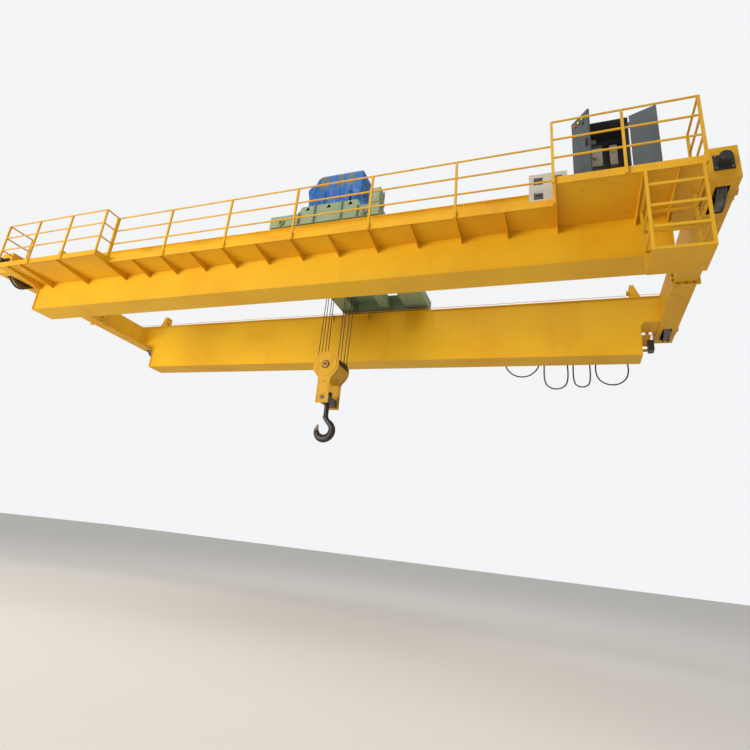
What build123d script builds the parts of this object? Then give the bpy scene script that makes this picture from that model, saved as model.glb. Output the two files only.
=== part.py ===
from build123d import *
import math
import os

os.makedirs("parts", exist_ok=True)

# Double girder overhead crane, 15.5 m between its runway rails, in millimetres.
# X runs along the girders, Y along the runway and Z up. The origin is at mid-span,
# midway between the girders, at the level of the runway rail heads.

# Girders: welded box beams with shallow ends that land on the end trucks
span = 15500
girder_gauge = 4500
girder_top = 820
girder_depth = 1450
flange_width = 650
flange_thickness = 16
web_thickness = 8
web_inset = 30
end_section_depth = 650
deep_section_inset = 600
notch_radius = 150
end_lap = 50
gusset_places = (-650, 420)
gusset_reach = 150
gusset_drop = 220

# End trucks: box beams that hold the runway wheels
truck_width = 400
truck_bottom = 140
truck_top = 700
truck_length = 6500
truck_plate = 12
wheelbase = 5400
splice_plate = 50
splice_reach = 45
wheel_pit_length = 720
wheel_pit_width = 190

# Runway wheels, their axles and bearing boxes
wheel_diameter = 600
wheel_tread_width = 90
wheel_flange_height = 30
wheel_flange_thickness = 20
wheel_web_thickness = 40
wheel_hub_diameter = 190
axle_diameter = 100
running_clearance = 0.05
bearing_box_size = 250
bearing_box_plate = 20
bearing_boss_diameter = 190
bearing_boss_height = 45
bearing_boss_taper = 10
axle_end_projection = 10
axle_hole_clearance = 10

# Travel drives: a gearcase on each front axle with a flange motor
gearcase_width = 210
gearcase_thickness = 170
gearcase_gap = 10
motor_rise = 190
motor_diameter = 220
motor_length = 400
motor_fan_length = 60
motor_cowl_step = 15
motor_neck_diameter = 150
motor_neck_length = 40

# Rubber buffers on the ends of the trucks
buffer_diameter = 170
buffer_length = 150
buffer_plate_size = 260
buffer_plate = 20

# Trolley rails on the girders, and the stops at their ends
rail_height = 120
rail_head_width = 70
rail_head_depth = 38
rail_foot_width = 110
rail_foot_depth = 20
rail_web_width = 18
rail_end_inset = 800
stop_length = 90
stop_width = 240
stop_height = 420
stop_foot_length = 260
stop_pad_diameter = 130
stop_pad_length = 60

# Root gap left where plates of one assembly butt
weld_gap = 0.5

# Walkways beside the girders
deck_level = 90
deck_plate = 5
edge_height = 130
edge_drop = 30
edge_plate = 6
walkway_width = 675
walkway_end_inset = 310
left_platform_length = 3290
left_platform_width = 1055
right_platform_length = 1970
right_platform_width = 1235
bracket_spacing = 810
bracket_plate = 8
bracket_tip_drop = 140
bracket_toe = 30
end_bracket_inset = 60
deck_notch_length = 60
deck_notch_shift = 10
deck_notch_width = 35
left_bracket_insets = (800, 2030)

# Handrails: posts on the outside of the walkway's edge, and three rails
post_size = 40
rail_diameter = 34
handrail_top = 1250
handrail_pitch = 350
handrail_rows = 3
wide_post_gap = 985
end_rail_gap = 430

# Hanging cage for work on the current collectors, under the right platform
cage_end_gap = 40
cage_length = 760
cage_depth = 730
cage_floor_level = -1230
cage_bar = 40
cage_lace = 24
cage_rail_rows = 3
cage_floor_plate = 5
cage_rail_top = -150

# Control cabinet with two doors, and the resistor box
cabinet_inset = 300
cabinet_width = 840
cabinet_depth = 480
cabinet_height = 1650
cabinet_sheet = 12
cabinet_plinth = 60
door_thickness = 30
door_gap = 6
knuckle_radius = 10
knuckle_height = 50
knuckle_gap = 0.5
hinge_pin_radius = 5
hinge_inset = 180
leaf_setback = 16
left_door_angle = 53
right_door_angle = 158
door_lamp_diameter = 36
door_lamp_length = 22
door_lamp_drop = 130
door_lamp_pitch = 90
door_lamp_count = 3
door_handle_length = 130
door_handle_width = 26
door_handle_height = 28
door_handle_level = 875
breaker_width = 260
breaker_depth = 170
breaker_height = 520
breaker_level = 820
breaker_inset = 90
equipment_margin = 180
resistor_gap = 110
resistor_width = 620
resistor_depth = 300
resistor_height = 900
resistor_sheet = 10
resistor_columns = 2
resistor_rows = 3
resistor_vent = 150

# Festoon: a track on the rear walkway's brackets, carriers and hanging loops
track_offset = 450
track_width = 60
track_height = 50
track_wall = 6
track_slot = 20
track_length = 3800
track_end_gap = 40
track_drop = 60
carrier_insets = (3400, 2450, 1760, 1250, 400)
carrier_length = 110
carrier_height = 60
carrier_neck = 12
saddle_diameter = 150
saddle_width = 60
cable_diameter = 34
loop_drops = (780, 1110, 1060, 1010)
loop_end_offset = 56
loop_waist = 0.95
loop_corner_turn = 22.5
arc_share = 0.45
loop_stub = 40
junction_box_size = 260
junction_box_depth = 120

# Trolley frame
trolley_x = 820
trolley_length = 2560
side_beam_width = 300
side_beam_bottom = 990
side_beam_top = 1270
side_beam_crown = 1430
crown_offset = 130
crown_length = 1300
crown_slope = 80
side_beam_plate = 10
side_rib_depth = 60
side_rib_plate = 10
side_rib_places = (-690, -320, 310, 680)
crown_hole_radius = 64
crown_hole_drop = 75
crown_hole_places = (-500, 0, 500)
wing_slot_length = 20
wing_slot_height = 110
wing_slot_inset = 330
trolley_wheelbase = 1960
trolley_wheel_diameter = 280
trolley_wheel_hub = 130
trolley_wheel_rim = 34
trolley_wheel_web = 36
trolley_axle_diameter = 80
trolley_wheel_pit = 380
trolley_bearing_diameter = 130
trolley_bearing_length = 50
cross_shaft_diameter = 60
deck_top = 1270
trolley_deck_plate = 10
cross_beam_depth = 260
cross_beam_width = 250
cross_beam_plate = 10
end_beam_width = 640
deck_window_width = 1100
deck_window_y = 1250
opening_half_length = 400
opening_half_width = 480

# Hoist: drum, gearcase, motor and the sheaves in the trolley
hook_offset = 450
sheave_pitch_radius = 262
rope_diameter = 20
drum_shell = 25
drum_start = -880
drum_length = 2200
drum_rise = 400
drum_groove_depth = 7
drum_groove_pitch = 45
drum_groove_count = 22
drum_rim_width = 30
drum_rim_height = 35
drum_shaft_diameter = 110
pedestal_width = 420
pedestal_thickness = 90
pedestal_gap = 22
hoist_case_left_reach = 564
hoist_case_right_reach = 546
hoist_case_thickness = 380
hoist_case_height = 1260
hoist_case_round = 250
hoist_motor_diameter = 420
hoist_motor_length = 600
hoist_motor_offset = 294
hoist_motor_rise = 480
motor_stand_width = 300
split_flange_depth = 44
split_flange_reach = 30
upper_sheave_level = 1250
equalizer_radius = 90
equalizer_level = 1150

# Tarpaulin over the hoist drive
tarp_left_gap = 200
tarp_right_gap = 130
tarp_front_gap = 170
tarp_back_reach = 39
tarp_hem_rise = 230
tarp_clearance = 0.3
tarp_sheet = 28
tarp_shaft_gap = 90
tarp_slope = 260

# Terminal box on the trolley's right end
terminal_box_length = 240
terminal_box_width = 300
terminal_box_height = 380

# Hook block
block_axis_level = -1520
sheave_rim_radius = 290
sheave_rim_width = 56
sheave_web = 14
sheave_rim_depth = 55
sheave_hub_radius = 85
sheave_bore_radius = 55
sheave_pitch = 90
groove_clearance = 0.9
groove_flare = 17
cheek_plate = 24
cheek_radius = 325
cheek_width = 310
cheek_fillet = 160
cheek_cover_radius = 272
cheek_cover_height = 14
axle_nut_radius = 70
axle_nut_height = 30
sheave_spacer = 30
cheek_spacing = 680
guard_sheet = 6
crosshead_drop = 790
crosshead_width = 210
crosshead_height = 170
crosshead_gap = 8
crosshead_round = 35
trunnion_radius = 48
trunnion_end_height = 16
cheek_tail = 125

# Forged single hook
shank_radius = 58
hook_nut_radius = 95
hook_nut_height = 110
nut_gap = 0.3
hook_centre_drop = 690
hook_bowl_radius = 195
hook_shoulder_drop = 360
hook_neck_radius = 62
hook_neck_lap = 20
hook_shoulder_reach = 40
hook_shoulder_rise = 235
hook_shoulder_heading = -75
hook_shoulder_depth = 66
hook_section_depth = 92
hook_section_width = 70
hook_taper = (
    (35, 0.80, 0.89),
    (0, 0.91, 0.94),
    (-35, 0.98, 0.97),
    (-70, 1.00, 1.00),
    (-105, 0.98, 0.97),
    (-140, 0.87, 0.89),
    (-172, 0.67, 0.74),
    (-200, 0.43, 0.51),
)
hook_point_angle = -218
hook_point_radius = 209
hook_point_lean = 14
hook_point_size = 18

# Levels and places worked out from the sizes above
pick_slack = 1
deep_section_length = span - 2 * deep_section_inset
rail_length = span - 2 * rail_end_inset
walkway_length = span - 2 * walkway_end_inset
half_walk = walkway_length / 2
left_platform_start = left_platform_length - half_walk
right_platform_start = half_walk - right_platform_length
cage_right = half_walk - cage_end_gap
cage_left = cage_right - cage_length
cabinet_left = right_platform_start + cabinet_inset
resistor_left = cabinet_left - resistor_gap - resistor_width
track_right = half_walk - track_end_gap
track_left = track_right - track_length
carrier_places = [track_right - inset for inset in carrier_insets]
hook_x = trolley_x - hook_offset
crown_x = trolley_x + crown_offset
girder_y = girder_gauge / 2
girder_bottom = girder_top - girder_depth
web_face = flange_width / 2 - web_inset
truck_x = span / 2
truck_inner = truck_x - truck_width / 2
wheel_y = wheelbase / 2
wheel_radius = wheel_diameter / 2
axle_radius = axle_diameter / 2
bore_radius = axle_radius + running_clearance
rail_top = girder_top + rail_height
trolley_wheel_radius = trolley_wheel_diameter / 2
trolley_axle_level = rail_top + trolley_wheel_radius
sides = (("front", -1), ("rear", 1))


# Girder plates, one set for each girder
def girder_outline(inset):
    """Side view of a girder, drawn on the XZ plane and shrunk by an inset."""
    end_bottom = girder_top - end_section_depth
    half_deep = deep_section_length / 2
    half_lap = truck_x + end_lap
    right = [
        (half_lap - inset, girder_top - inset),
        (half_lap - inset, truck_top + inset),
        (truck_inner - inset, truck_top + inset),
        (truck_inner - inset, end_bottom + inset),
        (half_deep - inset, end_bottom + inset),
        (half_deep - inset, girder_bottom + inset),
    ]
    left = [(-x, z) for x, z in reversed(right)]
    with BuildSketch() as outline:
        with BuildLine():
            Polyline(*right, *left, close=True)
        make_face()
        corners = outline.vertices().filter_by(
            lambda v: abs(v.Y - end_bottom - inset) < pick_slack
            and abs(abs(v.X) - half_deep + inset) < pick_slack)
        fillet(corners, notch_radius + inset)
    return outline.sketch_local


for name, side in sides:
    centre = side * girder_y
    top_plate = girder_top - flange_thickness

    with BuildPart() as top_flange:
        with BuildSketch(Plane.XY.offset(top_plate)):
            with Locations((0, centre)):
                Rectangle(2 * (truck_x + end_lap), flange_width)
        extrude(amount=flange_thickness)
    top_flange.part.label = f"{name}_girder_top_flange"
    export_step(top_flange.part, f"parts/{name}_girder_top_flange.step")

    with BuildPart() as bottom_flange:
        with BuildSketch(Plane.XZ.offset(-centre)):
            add(girder_outline(0))
            add(girder_outline(flange_thickness), mode=Mode.SUBTRACT)
            with Locations((0, girder_top)):
                Rectangle(2 * span, 2 * flange_thickness, mode=Mode.SUBTRACT)
        extrude(amount=flange_width / 2, both=True)
    bottom_flange.part.label = f"{name}_girder_bottom_flange"
    export_step(bottom_flange.part, f"parts/{name}_girder_bottom_flange.step")

    with BuildPart() as webs:
        for offset in (-web_face, web_face - web_thickness):
            with BuildSketch(Plane.XZ.offset(-centre - offset)):
                add(girder_outline(flange_thickness))
            extrude(amount=-web_thickness)
        if name == "rear":
            for x in gusset_places:
                with BuildSketch(Plane.YZ.offset(x)):
                    with BuildLine():
                        Polyline((centre - web_face, top_plate),
                                 (centre - web_face - gusset_reach, top_plate),
                                 (centre - web_face, top_plate - gusset_drop), close=True)
                    make_face()
                extrude(amount=web_thickness)
    webs.part.label = f"{name}_girder_webs"
    export_step(webs.part, f"parts/{name}_girder_webs.step")

# Trolley rails, one along the middle of each girder
with BuildPart() as rails:
    for name, side in sides:
        with BuildSketch(Plane.YZ.offset(-rail_length / 2)):
            with Locations((side * girder_y, girder_top)):
                Rectangle(rail_foot_width, rail_foot_depth, align=(Align.CENTER, Align.MIN))
                Rectangle(rail_web_width, rail_height, align=(Align.CENTER, Align.MIN))
            with Locations((side * girder_y, rail_top)):
                Rectangle(rail_head_width, rail_head_depth, align=(Align.CENTER, Align.MAX))
        extrude(amount=rail_length)
rails.part.label = "trolley_rails"
export_step(rails.part, "parts/trolley_rails.step")

# Stops past the rails' ends: a bracket plate on a foot, with a rubber pad
with BuildPart() as stops:
    for end in (-1, 1):
        for name, side in sides:
            face = end * (rail_length / 2 + stop_pad_length)
            with BuildSketch(Plane.XZ.offset(-side * girder_y)):
                with BuildLine():
                    Polyline((face, girder_top),
                             (face + end * stop_foot_length, girder_top),
                             (face + end * stop_length, girder_top + stop_height),
                             (face, girder_top + stop_height),
                             close=True)
                make_face()
            extrude(amount=stop_width / 2, both=True)
            with Locations(Plane(origin=(face, side * girder_y, trolley_axle_level), z_dir=(-end, 0, 0))):
                Cylinder(stop_pad_diameter / 2, stop_pad_length - running_clearance,
                         align=(Align.CENTER, Align.CENTER, Align.MIN))
stops.part.label = "trolley_stops"
export_step(stops.part, "parts/trolley_stops.step")

# End trucks: hollow box beams, open underneath over the wheels
for name, end in (("left", -1), ("right", 1)):
    with BuildPart() as truck:
        with BuildSketch(Plane.XY.offset(truck_bottom)):
            with Locations((end * truck_x, 0)):
                Rectangle(truck_width, truck_length)
        extrude(amount=truck_top - truck_bottom)
        with Locations((end * truck_x, 0, (truck_bottom + truck_top) / 2)):
            Box(truck_width + 2 * splice_reach, splice_plate, truck_top - truck_bottom + 2 * splice_reach)
        with BuildSketch(Plane.XY.offset(truck_bottom + truck_plate)):
            with Locations((end * truck_x, 0)):
                Rectangle(truck_width - 2 * truck_plate, truck_length - 2 * truck_plate)
        extrude(amount=truck_top - truck_bottom - 2 * truck_plate, mode=Mode.SUBTRACT)
        with BuildSketch(Plane.XY.offset(truck_bottom)):
            with Locations((end * truck_x, -wheel_y), (end * truck_x, wheel_y)):
                Rectangle(wheel_pit_width, wheel_pit_length)
        extrude(amount=truck_plate, mode=Mode.SUBTRACT)
        with BuildSketch(Plane.YZ.offset(end * truck_x)):
            with Locations((-wheel_y, wheel_radius), (wheel_y, wheel_radius)):
                Circle(axle_radius + axle_hole_clearance)
        extrude(amount=truck_width, both=True, mode=Mode.SUBTRACT)
    truck.part.label = f"{name}_end_truck"
    export_step(truck.part, f"parts/{name}_end_truck.step")

# Bearing boxes: a plate and a round boss on both sides of each wheel
with BuildPart() as bearing_boxes:
    for x in (-truck_x, truck_x):
        for face in (-1, 1):
            for y in (-wheel_y, wheel_y):
                seat = Plane(origin=(x + face * truck_width / 2, y, wheel_radius),
                             x_dir=(0, face, 0), z_dir=(face, 0, 0))
                with BuildSketch(seat):
                    RectangleRounded(bearing_box_size, bearing_box_size, bearing_box_plate)
                extrude(amount=bearing_box_plate)
                with BuildSketch(seat.offset(bearing_box_plate)):
                    Circle(bearing_boss_diameter / 2)
                extrude(amount=bearing_boss_height, taper=bearing_boss_taper)
                with BuildSketch(seat):
                    Circle(bore_radius)
                extrude(amount=bearing_box_plate + bearing_boss_height, mode=Mode.SUBTRACT)
bearing_boxes.part.label = "bearing_boxes"
export_step(bearing_boxes.part, "parts/bearing_boxes.step")

# Travel drives: gearcases hung on the front axles, with motors above the platforms
bearing_depth = bearing_box_plate + bearing_boss_height
case_face = truck_inner - bearing_depth - gearcase_gap
with BuildPart() as drives:
    for end in (-1, 1):
        case_plane = Plane(origin=(end * case_face, -wheel_y, wheel_radius),
                           x_dir=(0, -end, 0), z_dir=(-end, 0, 0))
        with BuildSketch(case_plane):
            with Locations((0, motor_rise / 2)):
                SlotCenterToCenter(motor_rise, gearcase_width, rotation=90)
        extrude(amount=gearcase_thickness)
        with BuildSketch(case_plane.offset(gearcase_thickness)):
            with Locations((0, motor_rise)):
                Circle(motor_neck_diameter / 2)
        extrude(amount=motor_neck_length)
        with BuildSketch(case_plane.offset(gearcase_thickness + motor_neck_length)):
            with Locations((0, motor_rise)):
                Circle(motor_diameter / 2)
        extrude(amount=motor_length)
        with BuildSketch(case_plane.offset(gearcase_thickness + motor_neck_length + motor_length)):
            with Locations((0, motor_rise)):
                Circle(motor_diameter / 2 - motor_cowl_step)
        extrude(amount=motor_fan_length)
        with BuildSketch(case_plane):
            Circle(bore_radius)
        extrude(amount=gearcase_thickness, mode=Mode.SUBTRACT)
drives.part.label = "travel_drives"
export_step(drives.part, "parts/travel_drives.step")

# Runway wheels: double flanged, turned in one piece with their axles
for end_name, end in (("left", -1), ("right", 1)):
    for side_name, side in sides:
        half = wheel_tread_width / 2 + wheel_flange_thickness
        outer = truck_width / 2 + bearing_depth + axle_end_projection
        inner = outer
        if side < 0:
            inner = truck_x - case_face + gearcase_thickness
        rim = wheel_radius + wheel_flange_height
        hub = wheel_hub_diameter / 2
        hollow = wheel_radius - wheel_flange_height - axle_end_projection
        axis_plane = Plane(origin=(end * truck_x, side * wheel_y, wheel_radius),
                           x_dir=(end, 0, 0), z_dir=(0, -1, 0))
        with BuildPart() as wheel:
            with BuildSketch(axis_plane):
                with BuildLine():
                    Polyline((-inner, 0), (-inner, axle_radius), (-half, axle_radius),
                             (-half, hub), (-wheel_web_thickness / 2, hub),
                             (-wheel_web_thickness / 2, hollow), (-half, hollow), (-half, rim),
                             (-wheel_tread_width / 2, rim), (-wheel_tread_width / 2, wheel_radius),
                             (wheel_tread_width / 2, wheel_radius), (wheel_tread_width / 2, rim),
                             (half, rim), (half, hollow), (wheel_web_thickness / 2, hollow),
                             (wheel_web_thickness / 2, hub), (half, hub), (half, axle_radius),
                             (outer, axle_radius), (outer, 0), close=True)
                make_face()
            revolve(axis=Axis((0, side * wheel_y, wheel_radius), (1, 0, 0)))
        wheel.part.label = f"{end_name}_{side_name}_wheel"
        export_step(wheel.part, f"parts/{end_name}_{side_name}_wheel.step")

# Buffers: a rubber block on a steel plate at each end of each truck
with BuildPart() as buffers:
    for x in (-truck_x, truck_x):
        for name, side in sides:
            seat = Plane(origin=(x, side * truck_length / 2, (truck_bottom + truck_top) / 2),
                         x_dir=(side, 0, 0), z_dir=(0, side, 0))
            with BuildSketch(seat):
                Rectangle(buffer_plate_size, buffer_plate_size)
            extrude(amount=buffer_plate)
            with BuildSketch(seat.offset(buffer_plate)):
                Circle(buffer_diameter / 2)
            extrude(amount=buffer_length)
buffers.part.label = "buffers"
export_step(buffers.part, "parts/buffers.step")

# Walkways: a deck with an upstand edge that doubles as a toe board
web_y = girder_y + web_face
front_edge = -web_y - walkway_width
rear_edge = web_y + walkway_width
left_edge = -web_y - left_platform_width
right_edge = -web_y - right_platform_width


def deck_plate_area(left, right, inner, outer):
    """One deck plate, with a notch at its end where the girder's flange passes down."""
    with Locations(((left + right) / 2, (inner + outer) / 2)):
        Rectangle(right - left, abs(outer - inner))
    with Locations((notch_x, inner), (-notch_x, inner)):
        Rectangle(deck_notch_length, 2 * deck_notch_width, mode=Mode.SUBTRACT)


def edge_strip(left, right, near, far):
    """One upstand of flat bar along a deck's edge."""
    with Locations(((left + right) / 2, (near + far) / 2, deck_level - edge_drop)):
        Box(right - left, abs(far - near), edge_height, align=(Align.CENTER, Align.CENTER, Align.MIN))


strip_out = weld_gap + edge_plate
notch_x = deep_section_length / 2 + deck_notch_shift
left_join = left_platform_start - weld_gap
right_join = right_platform_start + weld_gap
front_plates = ((-half_walk, left_join, left_edge),
                (left_platform_start, right_platform_start, front_edge),
                (right_join, half_walk, right_edge))
with BuildPart() as front_deck:
    for left, right, outer in front_plates:
        with BuildSketch(Plane.XY.offset(deck_level)):
            deck_plate_area(left, right, -web_y, outer)
        extrude(amount=deck_plate)
    edge_strip(-half_walk, left_join, left_edge - weld_gap, left_edge - strip_out)
    edge_strip(left_platform_start, left_platform_start + edge_plate,
               front_edge - weld_gap, left_edge - strip_out)
    edge_strip(left_platform_start + strip_out, right_platform_start - strip_out,
               front_edge - weld_gap, front_edge - strip_out)
    edge_strip(right_platform_start - edge_plate, right_platform_start,
               front_edge - weld_gap, right_edge - strip_out)
    edge_strip(right_join, half_walk, right_edge - weld_gap, right_edge - strip_out)
front_deck.part.label = "front_walkway_deck"
export_step(front_deck.part, "parts/front_walkway_deck.step")

with BuildPart() as rear_deck:
    for left, right in ((-half_walk, 0), (weld_gap, half_walk)):
        with BuildSketch(Plane.XY.offset(deck_level)):
            deck_plate_area(left, right, web_y, rear_edge)
        extrude(amount=deck_plate)
    edge_strip(-half_walk, half_walk, rear_edge + weld_gap, rear_edge + strip_out)
rear_deck.part.label = "rear_walkway_deck"
export_step(rear_deck.part, "parts/rear_walkway_deck.step")

# Brackets: tapered plates welded to the web under each walkway
bracket_count = math.ceil((right_platform_start - left_platform_start) / bracket_spacing)
bracket_places = [right_platform_start - bracket_spacing * n for n in range(1, bracket_count)]
left_brackets = [inset - half_walk for inset in left_bracket_insets]
front_brackets = [(x, front_edge) for x in bracket_places]
front_brackets += [(right_platform_start, right_edge), (cage_left, right_edge)]
front_brackets += [(left_platform_start - bracket_plate, left_edge)]
front_brackets += [(x, left_edge) for x in left_brackets]
last_bracket = deep_section_length / 2 - end_bracket_inset
rear_places = [-last_bracket, last_bracket]
rear_places += bracket_places + [right_platform_start, left_platform_start - bracket_plate]
rear_places += left_brackets + [cage_left]
rear_brackets = [(x, rear_edge) for x in rear_places]
front_brackets += [(-last_bracket, left_edge), (last_bracket, right_edge)]
for name, brackets in (("front", front_brackets), ("rear", rear_brackets)):
    with BuildPart() as bracket_set:
        for x, edge in brackets:
            root = math.copysign(web_y, edge)
            with BuildSketch(Plane.YZ.offset(x)):
                with BuildLine():
                    Polyline((root, deck_level), (edge, deck_level), (edge, deck_level - bracket_toe),
                             (root, deck_level - bracket_tip_drop), close=True)
                make_face()
            extrude(amount=bracket_plate)
    bracket_set.part.label = f"{name}_walkway_brackets"
    export_step(bracket_set.part, f"parts/{name}_walkway_brackets.step")


# Handrails: square posts on the outside of the edge, with round rails through them
def handrail_run(start, stop, post_count, foot=deck_level - edge_drop, butts=False):
    """Posts and rails from one corner to the next; a run that butts leaves out its first post."""
    run = Vector(*stop) - Vector(*start)
    root = post_size / 2 + weld_gap if butts else 0
    for n in range(1 if butts else 0, post_count):
        place = Vector(*start) + run * (n / (post_count - 1))
        with Locations((place.X, place.Y, foot)):
            Box(post_size, post_size, handrail_top - foot - rail_diameter / 2,
                align=(Align.CENTER, Align.CENTER, Align.MIN))
    for row in range(handrail_rows):
        height = handrail_top - rail_diameter / 2 - row * handrail_pitch
        first = Vector(start[0], start[1], height) + run.normalized() * root
        with Locations(Plane(origin=first, z_dir=run.normalized())):
            Cylinder(rail_diameter / 2, run.length - root,
                     align=(Align.CENTER, Align.CENTER, Align.MIN))


post_out = strip_out + post_size / 2
rail_left = -half_walk + post_size / 2
rail_right = half_walk - post_size / 2
middle_start = left_platform_start + edge_plate + post_size / 2
middle_stop = right_platform_start - edge_plate - post_size / 2
middle_posts = bracket_count // 2 + 1
with BuildPart() as middle_rail:
    handrail_run((middle_start, front_edge - post_out, 0),
                 (middle_stop, front_edge - post_out, 0), middle_posts)
middle_rail.part.label = "front_handrail_middle"
export_step(middle_rail.part, "parts/front_handrail_middle.step")

for name, corner, far, edge in (("left", middle_start, rail_left, left_edge),
                                ("right", middle_stop, rail_right, right_edge)):
    out = edge - post_out
    inner = front_edge - post_out - post_size
    posts = round(abs(far - corner) / wide_post_gap) + 1
    with BuildPart() as end_rail:
        handrail_run((corner, out, 0), (far, out, 0), posts)
        handrail_run((corner, out, 0), (corner, inner, 0), 2, butts=True)
        handrail_run((far, out, 0), (far, -web_y - end_rail_gap, 0), 2,
                     deck_level + deck_plate, butts=True)
    end_rail.part.label = f"front_handrail_{name}"
    export_step(end_rail.part, f"parts/front_handrail_{name}.step")

rear_out = rear_edge + post_out
rear_posts = round(walkway_length / bracket_spacing / 2) + 1
with BuildPart() as rear_rail:
    handrail_run((rail_left, rear_out, 0), (rail_right, rear_out, 0), rear_posts)
    for x in (rail_left, rail_right):
        handrail_run((x, rear_out, 0), (x, web_y + end_rail_gap, 0), 2,
                     deck_level + deck_plate, butts=True)
rear_rail.part.label = "rear_handrail"
export_step(rear_rail.part, "parts/rear_handrail.step")

# Hanging cage: level rails on all sides and a floor, hung by its outer posts
cage_outer = right_edge - strip_out
cage_inner = cage_outer + cage_depth
cage_top = deck_level - edge_drop
outer_y = cage_outer + cage_bar / 2
inner_y = cage_inner - cage_bar / 2
rail_spacing = (cage_rail_top - cage_floor_level - cage_bar) / cage_rail_rows
rail_levels = [cage_rail_top - row * rail_spacing for row in range(cage_rail_rows + 1)]
for name, x, inner_reach in (("left", cage_left + bracket_plate + cage_bar / 2, cage_rail_top),
                             ("right", cage_right - cage_bar / 2, deck_level)):
    with BuildPart() as cage_side:
        for level in rail_levels:
            with Locations((x, outer_y, level)):
                Box(cage_lace, inner_y - outer_y, cage_bar, align=(Align.CENTER, Align.MIN, Align.MAX))
        with Locations((x, outer_y, cage_floor_level)):
            Box(cage_bar, cage_bar, cage_top - cage_floor_level,
                align=(Align.CENTER, Align.CENTER, Align.MIN))
        with Locations((x, inner_y, cage_floor_level)):
            Box(cage_bar, cage_bar, inner_reach - cage_floor_level,
                align=(Align.CENTER, Align.CENTER, Align.MIN))
    cage_side.part.label = f"cage_{name}_side"
    export_step(cage_side.part, f"parts/cage_{name}_side.step")

cage_start = cage_left + bracket_plate + cage_bar
cage_run = cage_right - cage_bar - cage_start
with BuildPart() as cage_rails:
    for y in (outer_y, inner_y):
        for level in rail_levels:
            with Locations((cage_start, y, level)):
                Box(cage_run, cage_lace, cage_bar, align=(Align.MIN, Align.CENTER, Align.MAX))
cage_rails.part.label = "cage_rails"
export_step(cage_rails.part, "parts/cage_rails.step")

with BuildPart() as cage_floor:
    with Locations((cage_left + bracket_plate, cage_outer, cage_floor_level)):
        Box(cage_length - bracket_plate, cage_depth, cage_floor_plate,
            align=(Align.MIN, Align.MIN, Align.MAX))
cage_floor.part.label = "cage_floor"
export_step(cage_floor.part, "parts/cage_floor.step")

# Control cabinet: an open-fronted steel box on a plinth, its back to the girder
floor_top = deck_level + deck_plate
cabinet_back = -web_y - web_inset
cabinet_front = cabinet_back - cabinet_depth
cabinet_right = cabinet_left + cabinet_width
cabinet_x = cabinet_left + cabinet_width / 2
hinge_y = cabinet_front - door_gap - knuckle_radius
leaf_foot = floor_top + cabinet_plinth
leaf_height = cabinet_height - cabinet_plinth
hinge_levels = (leaf_foot + hinge_inset, leaf_foot + leaf_height - hinge_inset)
with BuildPart() as cabinet:
    with Locations((cabinet_x, cabinet_back, floor_top)):
        Box(cabinet_width, cabinet_depth, cabinet_height, align=(Align.CENTER, Align.MAX, Align.MIN))
    with Locations((cabinet_x, cabinet_back - cabinet_sheet, floor_top + cabinet_plinth)):
        Box(cabinet_width - 2 * cabinet_sheet, cabinet_depth,
            cabinet_height - cabinet_plinth - cabinet_sheet,
            align=(Align.CENTER, Align.MAX, Align.MIN), mode=Mode.SUBTRACT)
    for x in (cabinet_left, cabinet_right):
        for level in hinge_levels:
            with Locations((x, hinge_y, level)):
                Cylinder(knuckle_radius, knuckle_height, align=(Align.CENTER, Align.CENTER, Align.MAX))
                Box(2 * knuckle_radius, leaf_setback, knuckle_height,
                    align=(Align.CENTER, Align.MIN, Align.MAX))
                Cylinder(hinge_pin_radius, knuckle_height, align=(Align.CENTER, Align.CENTER, Align.MIN))
cabinet.part.label = "cabinet_body"
export_step(cabinet.part, "parts/cabinet_body.step")

with BuildPart() as equipment:
    plate_front = cabinet_back - cabinet_sheet - breaker_inset
    with Locations((cabinet_x, cabinet_back - cabinet_sheet, floor_top + cabinet_height / 2)):
        Box(cabinet_width - 2 * breaker_inset, breaker_inset, cabinet_height - 2 * equipment_margin,
            align=(Align.CENTER, Align.MAX, Align.CENTER))
    with Locations((cabinet_x - breaker_inset, plate_front, floor_top + breaker_level)):
        Box(breaker_width, breaker_depth, breaker_height, align=(Align.CENTER, Align.MAX, Align.MIN))
equipment.part.label = "cabinet_equipment"
export_step(equipment.part, "parts/cabinet_equipment.step")

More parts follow.
